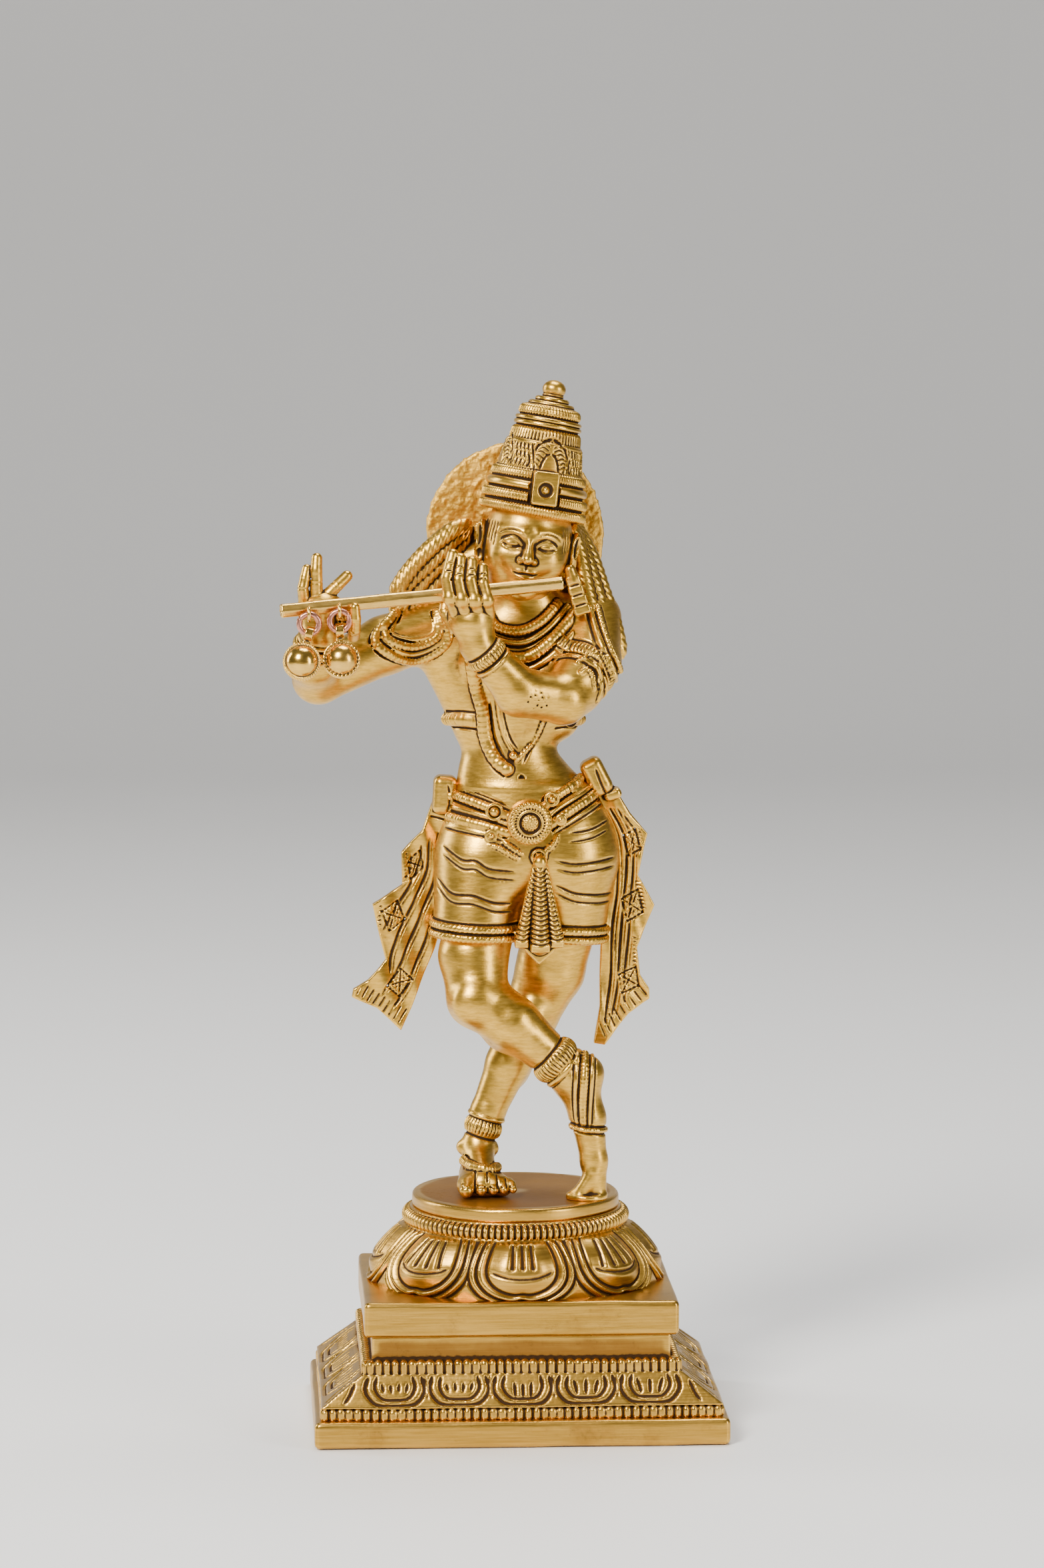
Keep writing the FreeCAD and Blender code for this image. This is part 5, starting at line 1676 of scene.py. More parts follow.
def make_ear_drops():
    """Thick tabs, round at the top and wider to the foot, with three cuts across."""
    for name, (x, y, height, lean, length, width) in DROPS.items():
        turn = math.radians(lean)
        axis = np.array([math.sin(turn), 0, -math.cos(turn)])
        top = up(x, y, height)
        rows = axes_from(-axis)
        clay = Clay(top - (7, 5, 19), top + (9, 5, 3), 0.24)
        clay.add(bone(top + axis * 1.6, top + axis * 5.0, width * 0.36, width * 0.44), 0.3)
        for step in range(4):
            at_step = 3.6 + (length - 5.0) * step / 3.6
            half = width / 2 * (0.9 + 0.06 * step)
            half_sizes = (half, 1.7, (length - 4.6) / 7.2)
            clay.add(brick(top + axis * (at_step + 1.1), half_sizes, 0.75, rows), 0.35)
        for step in range(1, 4):
            at_step = 3.6 + (length - 5.0) * (step - 0.5) / 3.6 + 1.1
            place = top + axis * at_step - (0, 1.9, 0)
            trace(clay, np.array([place - rows[0] * width * 0.4,
                  place + rows[0] * width * 0.4]), 0.5, 0.3, cut=True)
        piece = to_mesh(clay, name + "_cast", smooth=1)
        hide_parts(name)


# ---------------------------------------------------------------- sashes, medallion, tassel and flute

SASH_PLANE = 4.0
RIGHT_SASH = [
    (-18.0, 118.0), (-17.0, 107.0), (-20.0, 84.0), (-23.5, 72.0), (-30.5, 54.0), (-33.6, 47.6),
    (-40.5, 54.0),
    (-47.8, 57.4), (-47.4, 59.6), (-43.2, 62.0), (-37.8, 68.2), (-38.6, 72.0), (-41.6, 84.6), (-33.0, 90.4),
    (-33.2, 100.0), (-27.0, 106.4), (-23.0, 118.0),
]
LEFT_SASH = [
    (21.0, 126.0), (24.0, 116.0), (28.0, 101.0), (27.0, 88.0), (25.4, 72.0), (25.2, 54.0), (23.4, 43.0),
    (26.4, 42.6), (33.4, 52.0), (39.4, 56.2), (39.4, 59.2), (36.8, 63.2), (35.8, 71.6), (40.8, 84.0),
    (36.0, 92.8), (39.0, 105.0), (33.8, 111.2), (27.4, 121.6), (24.6, 127.4),
]


def outline_distance(outline, x, z):
    """Distance from a polygon across the front, negative inside it."""
    best = np.full(np.broadcast(x, z).shape, 1e9, np.float32)
    inside = np.zeros(best.shape, bool)
    for (ax, az), (bx, bz) in zip(outline, outline[1:] + outline[:1]):
        ex, ez = bx - ax, bz - az
        px, pz = x - ax, z - az
        t = np.clip((px * ex + pz * ez) / (ex * ex + ez * ez), 0, 1)
        best = np.minimum(best, (px - t * ex) ** 2 + (pz - t * ez) ** 2)
        crosses = (az > z) != (bz > z)
        where = ax + (z - az) * ex / (ez if abs(ez) > 1e-9 else 1e-9)
        inside ^= crosses & (x < where)
    return np.where(inside, -1, 1) * np.sqrt(best)


def sheet_form(outline, y, thickness, ripple, wave_length, phase):
    """A cast plate with a rippled face inside an outline."""
    raised = [(x, h + STAND) for x, h in outline]
    xs, zs = [p[0] for p in raised], [p[1] for p in raised]

    def field(x, yy, z):
        flat = outline_distance(raised, x, z) + 0.35
        bend = ripple * np.sin((x + 0.35 * z) * 2 * math.pi / wave_length + phase)
        q = np.abs(yy - y - bend) - thickness / 2 + 0.5
        p = flat + 0 * yy
        return np.sqrt(np.maximum(p, 0) ** 2 + np.maximum(q, 0) ** 2) + \
                       np.minimum(np.maximum(p, q), 0) - 0.5
    reach = thickness + abs(ripple)
    return field, (min(xs), y - reach, min(zs)), (max(xs), y + reach, max(zs))


def both_faces(clay, points, radius, taper=1.0, blend=0.15):
    """A line cut on the front and on the back of a plate."""
    for side in (1, -1):
        line = curve([(x, 0, h + STAND) for x, h in points], step=0.6)
        line[:, 1] = SASH_PLANE - 9.0 * side
        path = clay.drape(line, (0, side, 0))
        if len(path) > 1:
            trace(clay, path, radius, blend, cut=True, taper=taper)


def hatched_square(clay, corner, along, across, count=4):
    """A square of fine crossing lines inside a border."""
    corner, along, across = (np.array(v, float) for v in (corner, along, across))
    for step in range(1, count + 1):
        t = step / count
        lines = [
            (corner + along * t, corner + across * t),
            (corner + along + across * (1 - t), corner + across + along * (1 - t)),
            (corner + along * (1 - t), corner + along + across * t),
            (corner + across * (1 - t), corner + across + along * t),
        ]
        for a, b in lines:
            both_faces(clay, [a, b], 0.2, taper=0, blend=0.08)
    for a, b in ((corner, corner + along), (corner, corner + across), (corner + along,
                 corner + along + across), (corner + across, corner + along + across)):
        both_faces(clay, [a, b], 0.3, taper=0)


def make_right_sash():
    low = up(-50, SASH_PLANE - 11, 45)
    clay = Clay(low, up(-13, SASH_PLANE + 5, 128), 0.23)
    clay.add(sheet_form(RIGHT_SASH, SASH_PLANE, 2.6, 0.5, 9.0, 0.4))
    clay.add(brick(up(-20.6, 0.6, 117.4), (3.5, 4.0, 5.6), 2.2, axes_from((0.06, 0, 1))), 0.8)
    trace(clay, front_line(clay, [(-20.4, 109.6), (-24.4, 110.6)]), 0.4, 0.2, cut=True)
    trace(clay, front_line(clay, [(-19.8, 112.4), (-19.2, 117.0),
          (-19.8, 120.6)]), 0.45, 0.3, cut=True, taper=1.5)
    drapes = [
        [(-20.2, 106.0), (-21.0, 92.0), (-25.0, 78.0), (-31.0, 62.0), (-35.6, 54.0)],
        [(-22.4, 106.0), (-23.6, 93.0), (-28.4, 80.0), (-34.2, 66.0), (-39.6, 57.6)],
        [(-25.0, 104.0), (-26.2, 94.0), (-31.0, 83.0), (-36.0, 71.0), (-36.8, 64.0)],
        [(-27.4, 102.6), (-28.6, 95.0), (-33.6, 86.0), (-38.6, 77.0)],
        [(-30.4, 99.6), (-31.0, 94.4), (-36.0, 88.4)],
    ]
    for line in drapes:
        both_faces(clay, line, 0.5, taper=2.5)
        both_faces(clay, [(x + 0.95, h - 0.4) for x, h in line], 0.26, taper=2.5)
    hatched_square(clay, (-36.6, 77.0), (4.4, 3.2), (-2.4, 5.6))
    hatched_square(clay, (-37.6, 60.6), (3.6, -3.2), (4.0, 5.0))
    hatched_square(clay, (-30.6, 92.2), (3.6, 3.4), (-0.8, 5.0), 3)
    for step in range(9):
        t = step / 8
        foot = (-34.6 - 12.2 * t, 49.4 + 8.4 * t)
        both_faces(clay, [foot, (foot[0] + 3.0 - 0.8 * t, foot[1] + 4.6 - 0.6 * t)], 0.3, taper=0.8)
    for step in range(8):
        h = 74 + step * 1.4
        both_faces(clay, [(-40.9 + 0.12 * step, h), (-38.9, h + 0.8)], 0.26, taper=0.6)
        both_faces(clay, [(-32.6 + 0.06 * step, 91.6 + step * 1.1),
                   (-31.4, 92.2 + step * 1.1)], 0.26, taper=0.6)
    piece = to_mesh(clay, "right_sash_cast", wave=0.2, smooth=1)
    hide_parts("right_sash")


def make_left_sash():
    clay = Clay(up(17, SASH_PLANE - 12, 40), up(43, SASH_PLANE + 5, 134), 0.23)
    clay.add(sheet_form(LEFT_SASH, SASH_PLANE, 2.6, 0.5, 9.0, 2.0))
    rows = axes_from((-0.5, 0, 1))
    clay.add(brick(up(23.6, -0.6, 122.6), (3.4, 4.2, 5.4), 2.2, rows), 0.8)
    clay.add(brick(up(28.4, 0.4, 117.4), (2.6, 3.6, 1.5), 1.3, axes_from((-0.3, 0, 1))), 0.5)
    trace(clay, front_line(clay, [(26.2, 117.6), (24.6, 121.4),
          (23.2, 125.2)]), 0.45, 0.3, cut=True, taper=1.5)
    for line in (
        [(25.4, 113.0), (29.4, 104.0), (30.4, 92.0), (28.8, 78.0), (28.2, 62.0), (26.6, 48.0)],
        [(27.6, 113.0), (32.0, 104.0), (32.8, 93.0), (31.4, 80.0), (30.6, 64.0), (28.6, 50.0)],
        [(29.8, 113.0), (34.4, 104.0), (34.6, 96.0), (34.0, 84.0), (32.8, 68.0), (32.0, 54.0)],
        [(31.6, 111.0), (36.4, 104.6), (35.6, 98.0)],
    ):
        both_faces(clay, line, 0.5, taper=2.5)
        both_faces(clay, [(x + 0.95, h) for x, h in line], 0.26, taper=2.5)
    hatched_square(clay, (33.4, 98.6), (3.6, 2.0), (-1.6, 6.0))
    hatched_square(clay, (33.0, 79.4), (4.6, 2.4), (-1.6, 6.6))
    hatched_square(clay, (31.6, 58.0), (4.8, 2.0), (-0.8, 5.6))
    for step in range(9):
        t = step / 8
        foot = (26.8 + 12.2 * t, 44.6 + 12.2 * t)
        both_faces(clay, [foot, (foot[0] - 2.0 - 0.6 * t, foot[1] + 4.8 - 1.4 * t)], 0.3, taper=0.8)
    for step in range(8):
        both_faces(clay, [(38.6 - 0.2 * step, 83.0 + step * 1.1),
                   (36.6 - 0.2 * step, 83.2 + step * 1.1)], 0.26, taper=0.6)
        both_faces(clay, [(36.0, 66.0 + step * 1.2), (34.4, 66.4 + step * 1.2)], 0.26, taper=0.6)
        both_faces(clay, [(38.0 - 0.1 * step, 100.0 + step * 0.9),
                   (36.2, 100.4 + step * 0.9)], 0.26, taper=0.6)
    piece = to_mesh(clay, "left_sash_cast", wave=0.2, smooth=1)
    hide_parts("left_sash")


MEDALLION = up(3.3, -18.6, 111.0)


def make_medallion():
    """A boss with leaning rays round a plain ring and a stippled middle."""
    radius = 6.5
    clay = Clay(MEDALLION - (8.5, 2.5, 8.5), MEDALLION + (8.5, 9, 8.5), 0.22)
    clay.add(disc(MEDALLION + (0, 4, 0), radius, 4.0, (0, 1, 0), rounding=0.8))
    clay.add(ring(MEDALLION + (0, 0.2, 0), radius - 1.5, 1.35, (0, 1, 0)), 0.3)
    for index in range(32):
        turn = 2 * math.pi * index / 32
        inner = np.array([math.cos(turn), 0, math.sin(turn)]) * (radius - 2.6)
        outer = np.array([math.cos(turn + 0.16), 0, math.sin(turn + 0.16)]) * (radius + 0.1)
        path = clay.drape(curve([MEDALLION + inner - (0, 8, 0), MEDALLION + \
                          outer * 0.99 - (0, 8, 0)], step=0.4), (0, 1, 0))
        if len(path) > 1:
            trace(clay, path, 0.3, 0.1, cut=True)
    clay.add(ring(MEDALLION + (0, -0.3, 0), radius - 3.0, 0.55, (0, 1, 0)), 0.1)
    clay.carve(ring(MEDALLION + (0, -0.5, 0), radius - 3.8, 0.55, (0, 1, 0)), 0.1)
    clay.add(egg(MEDALLION + (0, 0.6, 0), (2.7, 1.6, 2.7)), 0.2)
    for index in range(34):
        reach = 2.4 * math.sqrt((index + 0.5) / 34)
        turn = index * 2.399963
        clay.carve(ball(MEDALLION + (reach * math.cos(turn), -0.95 + 0.13 * \
                   reach * reach, reach * math.sin(turn)), 0.24), 0.05)
    piece = to_mesh(clay, "medallion_cast", smooth=1)
    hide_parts("belt_medallion")


TASSEL_STRIPS = [
    # top and foot (x, height), half width at the top and at the foot, distance forward
    ((5.2, 98.0), (1.0, 76.4), 1.2, 2.2, -16.4),
    ((7.4, 98.0), (11.2, 76.4), 1.2, 2.2, -16.4),
    ((6.2, 98.6), (6.3, 75.2), 1.4, 3.0, -17.2),
]
TASSEL_TIP = [(-1.4, 79.0), (1.4, 74.2), (6.0, 69.4), (10.2, 73.0), (13.6, 79.0)]
TASSEL_RIB = 1.45


def make_tassel():
    """Three ribbed strips that fan out under the medallion, over a pointed plate."""
    clay = Clay(up(-5, -22.5, 62), up(19, -8, 104), 0.22)
    clay.add(sheet_form(TASSEL_TIP, -14.6, 3.2, 0.0, 9.0, 0.0))
    clay.add(brick(up(6.3, -14.0, 86), (3.0, 2.2, 10.0), 0.8), 0.8)
    for top, foot, top_half, low_half, y in TASSEL_STRIPS:
        start, end = up(top[0], y, top[1]), up(foot[0], y, foot[1])
        clay.add(bone(start, end, top_half, low_half), 0.25)
        clay.add(brick(end + (0, 0.2, -0.6), (low_half * 0.92, low_half * 0.8, 1.4), 0.5), 0.4)
        count = int(np.linalg.norm(end - start) / TASSEL_RIB)
        for index in range(count + 1):
            share = (index + 0.4) / (count + 0.8)
            place = start + (end - start) * share
            half = top_half + (low_half - top_half) * share
            line = curve([place + (-half, -8, 0.3), place + (0, -8, -0.2),
                         place + (half, -8, 0.3)], step=0.35)
            path = clay.drape(line, (0, 1, 0))
            if len(path) > 1:
                trace(clay, path, 0.36, 0.12, cut=True)
    clay.add(ball(up(6.3, -16.8, 99.4), 2.1), 0.4)
    piece = to_mesh(clay, "tassel_cast", smooth=1)
    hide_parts("waist_tassel")


def make_flute():
    """A hand-filed rod: its faces are slightly flat and its ends are drilled."""
    axis = (FLUTE_B - FLUTE_A) / np.linalg.norm(FLUTE_B - FLUTE_A)
    rows = axes_from(axis)
    clay = Clay(np.minimum(FLUTE_A, FLUTE_B) - 3.2, np.maximum(FLUTE_A, FLUTE_B) + 3.2, 0.26)
    length = np.linalg.norm(FLUTE_B - FLUTE_A)
    radius = 2.05
    rod = disc((FLUTE_A + FLUTE_B) / 2, radius, length / 2, axis, rounding=0.35)

    def field(x, y, z):
        u, v, w = turned(rows, FLUTE_A, x, y, z)
        angle = np.arctan2(v, u)
        return rod[0](x, y, z) + 0.07 * np.cos(6 * angle + 0.02 * w) + 0.05 * np.sin(w * 0.35)
    clay.add((field, np.minimum(FLUTE_A, FLUTE_B) - 2.2, np.maximum(FLUTE_A, FLUTE_B) + 2.2))
    for end in (FLUTE_A, FLUTE_B):
        clay.carve(bone(end - axis * 1.5, end + axis * 1.5, 0.95, 0.95), 0.1)
    piece = to_mesh(clay, "flute_rod", finish="flute_brass", smooth=1, adapt=0.0)
    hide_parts("flute")


# ---------------------------------------------------------------- eyelets, rings and bells

RING_RADIUS = 2.8
RING_WIRE = 0.85
BELL_RADIUS = 4.7
BELL_FLANGE = 5.4
BELL_WALL = 0.7
BELL_SLIT = 1.1
BELL_TILT = math.radians(14.0)
BELL_FACE = np.array([0, -math.cos(BELL_TILT), math.sin(BELL_TILT)])
BELLS = ("outer", "inner")


def box_middle(*nodes):
    lows = np.array([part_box(node)[0] for node in nodes]).min(0)
    highs = np.array([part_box(node)[1] for node in nodes]).max(0)
    return (lows + highs) / 2 / MM


def bell_frame(name):
    """Middle of a bell, its axes (side, face, up) and the place of its loop."""
    middle = box_middle(name + "_bell_front", name + "_bell_back")
    pivot = box_middle(name + "_ring") - (0, 0, RING_RADIUS)
    rise = pivot - middle
    return middle, axes_from(rise, BELL_FACE), pivot


def make_eyelets():
    """Small loops brazed to the front of the flute, which carry the copper rings."""
    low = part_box("flute_eyelets")[0] / MM
    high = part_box("flute_eyelets")[1] / MM
    clay = Clay(np.array(low) - 1.5, np.array(high) + 1.5, 0.16)
    for name in BELLS:
        hole = box_middle(name + "_ring") + (0, 0, RING_RADIUS)
        clay.add(ring(hole, 1.85, 0.55, (1, 0, 0)), 0.2)
        root = hole + np.array([0, 1.9, 0.75])
        clay.add(egg(root, (1.0, 0.75, 0.8)), 0.5)
    clay.carve(bone(FLUTE_A, FLUTE_B, 1.9, 1.9))
    piece = to_mesh(clay, "eyelet_loops", finish="flute_brass", smooth=1)
    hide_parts("flute_eyelets")


def make_ring(name):
    """A ring bent from copper wire, its ends butted at the side."""
    middle = box_middle(name + "_ring")
    clay = Clay(middle - 4.4, middle + 4.4, 0.13)
    clay.add(ring(middle, RING_RADIUS, RING_WIRE, (0, 1, 0)))
    turn = math.radians(35 if name == "inner" else 150)
    joint = middle + RING_RADIUS * np.array([math.cos(turn), 0, math.sin(turn)])
    tangent = np.array([-math.sin(turn), 0, math.cos(turn)])
    clay.carve(disc(joint, 1.4, 0.07, tangent, rounding=0.02), 0.08)
    piece = to_mesh(clay, name + "_ring_wire", body=name + "_ring", finish="copper", wave=0.03, rough=0.03,
                    rough_scale=0.9, smooth=1)
    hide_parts(name + "_ring")


def bell_shell(name, half):
    """Half of a bell: a thin dome with a rolled rim, beaded on the outer bell."""
    middle, axes, _ = bell_frame(name)
    front = 1.0 if half == "front" else -1.0
    clay = Clay(middle - 7.0, middle + 7.0, 0.14)
    rim_at = BELL_SLIT / 2 + 0.4

    def field(x, y, z):
        u, v, w = turned(axes, middle, x, y, z)
        v = v * front
        dome = np.sqrt(u * u + (v * 1.02) ** 2 + w * w) - BELL_RADIUS
        r = np.sqrt(u * u + w * w)
        angle = np.arctan2(w, u)
        rim = np.sqrt((r - BELL_FLANGE + 0.45) ** 2 + (v - rim_at) ** 2) - 0.44
        flange = np.maximum(np.abs(v - rim_at) - 0.3, r - BELL_FLANGE + 0.3)
        if name == "outer":
            rim = rim - 0.12 * np.cos(angle * 44)
        whole = smooth_min(smooth_min(dome, flange, 0.25), rim, 0.12)
        if name == "inner":
            teeth = np.abs(np.mod(angle * 26 / (2 * math.pi), 1) - 0.5) * 2
            whole = whole + 0.22 * np.exp(-((r - BELL_RADIUS + 0.05) / 0.3)
                                          ** 2) * (teeth > 0.5) * (v > rim_at)
        inside = np.sqrt(u * u + v * v + w * w) - BELL_RADIUS + BELL_WALL
        return smooth_max(smooth_max(whole, -inside, 0.1), BELL_SLIT / 2 - v, 0.1)
    clay.add((field, middle - 6.6, middle + 6.6))
    piece = to_mesh(clay, "%s_shell_%s" % (name, half), body=name + "_bell", finish="bell_brass", smooth=1)
    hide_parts("%s_bell_%s" % (name, half))


def bell_loop(name):
    """A flat strip bent over the ring, its ends held between the two rims."""
    middle, axes, pivot = bell_frame(name)
    clay = Clay(pivot - (3.2, 4.2, 6.0), pivot + (3.2, 4.2, 3.2), 0.14)
    distance = np.linalg.norm(pivot - middle)
    tab_low = BELL_RADIUS - BELL_WALL / 2 - distance
    tab_high = -RING_WIRE - 0.85

    def strip(x, y, z):
        u, v, w = turned(axes, pivot, x, y, z)
        bent = np.sqrt(v * v + w * w) - 1.72
        p = np.abs(u) - 1.12 + 0.15
        q = np.abs(bent) - 0.36 + 0.15
        loop = np.sqrt(np.maximum(p, 0) ** 2 + np.maximum(q, 0) ** 2) + \
                       np.minimum(np.maximum(p, q), 0) - 0.15
        tab = np.maximum(np.maximum(np.abs(u) - 1.15, np.abs(v) - BELL_SLIT / 2 + 0.02),
                         np.maximum(w - tab_high + 0.2, tab_low - w))
        crease = 0.12 * np.exp(-((w + 2.3) / 0.16) ** 2)
        return smooth_min(loop, tab, 0.3) + crease
    clay.add((strip, pivot - (3.0, 4.0, 5.8), pivot + (3.0, 4.0, 3.0)))
    piece = to_mesh(clay, name + "_strip_loop", body=name + "_bell", finish="bell_brass", smooth=1)
    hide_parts(name + "_bell_loop")


def make_pellet(name):
    """A cast pellet with a parting line and rough facets."""
    middle = box_middle(name + "_bell_pellet")
    clay = Clay(middle - 2.2, middle + 2.2, 0.1)
    clay.add(ball(middle, 1.56))
    clay.add(ring(middle, 1.5, 0.09, BELL_FACE), 0.05)
    for index in range(14):
        height = 1 - 2 * (index + 0.5) / 14
        turn = index * 2.399963
        wide = math.sqrt(1 - height * height)
        out = np.array([wide * math.cos(turn), wide * math.sin(turn), height])
        clay.carve(brick(middle + out * 1.95, (0.9, 0.9, 0.45),
                   0.05, axes_from(out, (0.3, 0.8, 0.5))), 0.05)
    piece = to_mesh(clay, name + "_pellet_cast", body=name + "_pellet", finish="bell_brass", smooth=1)
    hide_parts(name + "_bell_pellet")


def make_bells():
    for name in BELLS:
        make_ring(name)
        bell_shell(name, "front")
        bell_shell(name, "back")
        bell_loop(name)
        make_pellet(name)


# ---------------------------------------------------------------- stud, washer and nut under the base

def make_stud():
    low, high = (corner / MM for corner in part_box("base_stud"))
    radius = high.x
    clay = Clay((-4.2, -4.2, low.z - 0.6), (4.2, 4.2, high.z + 0.6), 0.22)
    pitch = 1.0

    def field(x, y, z):
        r = np.sqrt(x * x + y * y)
        turn = np.arctan2(y, x) / (2 * math.pi)
        tooth = np.abs(np.mod(z / pitch - turn, 1) - 0.5) * 2
        chamfer = r + np.maximum(0, low.z + 1.0 - z) - radius + 0.1
        side = np.maximum(r - radius + 0.5 * tooth, chamfer)
        return np.maximum(side * 0.8, np.maximum(z - high.z, low.z - z))
    clay.add((field, (-3.4, -3.4, low.z), (3.4, 3.4, high.z)))
    piece = to_mesh(clay, "stud_thread", finish="zinc_steel", smooth=0)
    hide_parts("base_stud")


def make_washer():
    low, high = (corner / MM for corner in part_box("base_washer"))
    middle = (low + high) / 2
    clay = Clay(np.array(low) - 0.8, np.array(high) + 0.8, 0.25)
    clay.add(disc(middle, high.x, (high.z - low.z) / 2, rounding=0.3))
    clay.carve(disc(middle, 3.4, 2.0))
    piece = to_mesh(clay, "washer_plate", finish="zinc_steel", wave=0.05, smooth=1)
    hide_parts("base_washer")


def make_nut():
    low, high = (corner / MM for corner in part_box("base_nut"))
    middle = (low + high) / 2
    corner_radius = high.x
    flat = corner_radius * math.cos(math.pi / 6)
    half = (high.z - low.z) / 2
    clay = Clay(np.array(low) - 1.0, np.array(high) + 1.0, 0.22)

    def field(x, y, z):
        sides = [np.abs(x * math.sin(a) + y * math.cos(a)) for a in (0, math.pi / 3, 2 * math.pi / 3)]
        hexagon = np.maximum(np.maximum(sides[0], sides[1]), sides[2]) - flat
        r = np.sqrt(x * x + y * y)
        lift = np.abs(z - middle.z)
        chamfer = (r - corner_radius + (lift - half + 1.3) * 0.55) * 0.87
        bore = 3.05 - r
        return smooth_max(np.maximum(hexagon, np.maximum(lift - half, chamfer)), bore, 0.2)
    clay.add((field, np.array(low) - 0.2, np.array(high) + 0.2))
    piece = to_mesh(clay, "hex_nut", finish="zinc_steel", smooth=0)
    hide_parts("base_nut")


BUILDERS = [
    make_plinth,
    make_pedestal,
    make_foot_disc,
    make_hips,
    make_torso,
    make_standing_leg,
    make_crossing_leg,
    make_left_arm,
    make_right_arm,
    make_head,
    make_hair,
    make_crown,
    make_halo,
    make_ear_drops,
    make_right_sash,
    make_left_sash,
    make_medallion,
    make_tassel,
    make_flute,
    make_eyelets,
    make_bells,
    make_stud,
    make_washer,
     make_nut]


# ---------------------------------------------------------------- materials

def put(tree, kind, **values):
    node = tree.nodes.new(kind)
    for name, value in values.items():
        setattr(node, name, value)
    return node


def attribute(tree, name):
    return put(tree, "ShaderNodeAttribute", attribute_name=name).outputs["Fac"]


def noise_map(tree, scale, detail=4.0, rough=0.6, stretch=(1, 1, 1)):
    """Noise over the object's own coordinates, scale in lumps per metre."""
    coordinates = put(tree, "ShaderNodeTexCoord").outputs["Object"]
    mapping = put(tree, "ShaderNodeMapping")
    mapping.inputs["Scale"].default_value = stretch
    tree.links.new(coordinates, mapping.inputs["Vector"])
    node = put(tree, "ShaderNodeTexNoise")
    node.inputs["Scale"].default_value = scale
    node.inputs["Detail"].default_value = detail
    node.inputs["Roughness"].default_value = rough
    tree.links.new(mapping.outputs["Vector"], node.inputs["Vector"])
    return node.outputs["Fac"]


def arithmetic(tree, operation, a, b, clamp=False):
    node = put(tree, "ShaderNodeMath", operation=operation, use_clamp=clamp)
    for socket, value in zip(node.inputs, (a, b)):
        if isinstance(value, (int, float)):
            socket.default_value = value
        else:
            tree.links.new(value, socket)
    return node.outputs["Value"]


def remap(tree, value, low, high, to_low=0.0, to_high=1.0):
    node = put(tree, "ShaderNodeMapRange", interpolation_type="SMOOTHSTEP")
    node.inputs["From Min"].default_value = low
    node.inputs["From Max"].default_value = high
    node.inputs["To Min"].default_value = to_low
    node.inputs["To Max"].default_value = to_high
    tree.links.new(value, node.inputs["Value"])
    return node.outputs["Result"]


def mix(tree, factor, a, b):
    node = put(tree, "ShaderNodeMix", data_type="RGBA")
    for socket, value in ((node.inputs["Factor"], factor), (node.inputs["A"], a), (node.inputs["B"], b)):
        if isinstance(value, (int, float)):
            socket.default_value = value
        elif isinstance(value, tuple):
            socket.default_value = (*value, 1)
        else:
            tree.links.new(value, socket)
    return node.outputs["Result"]


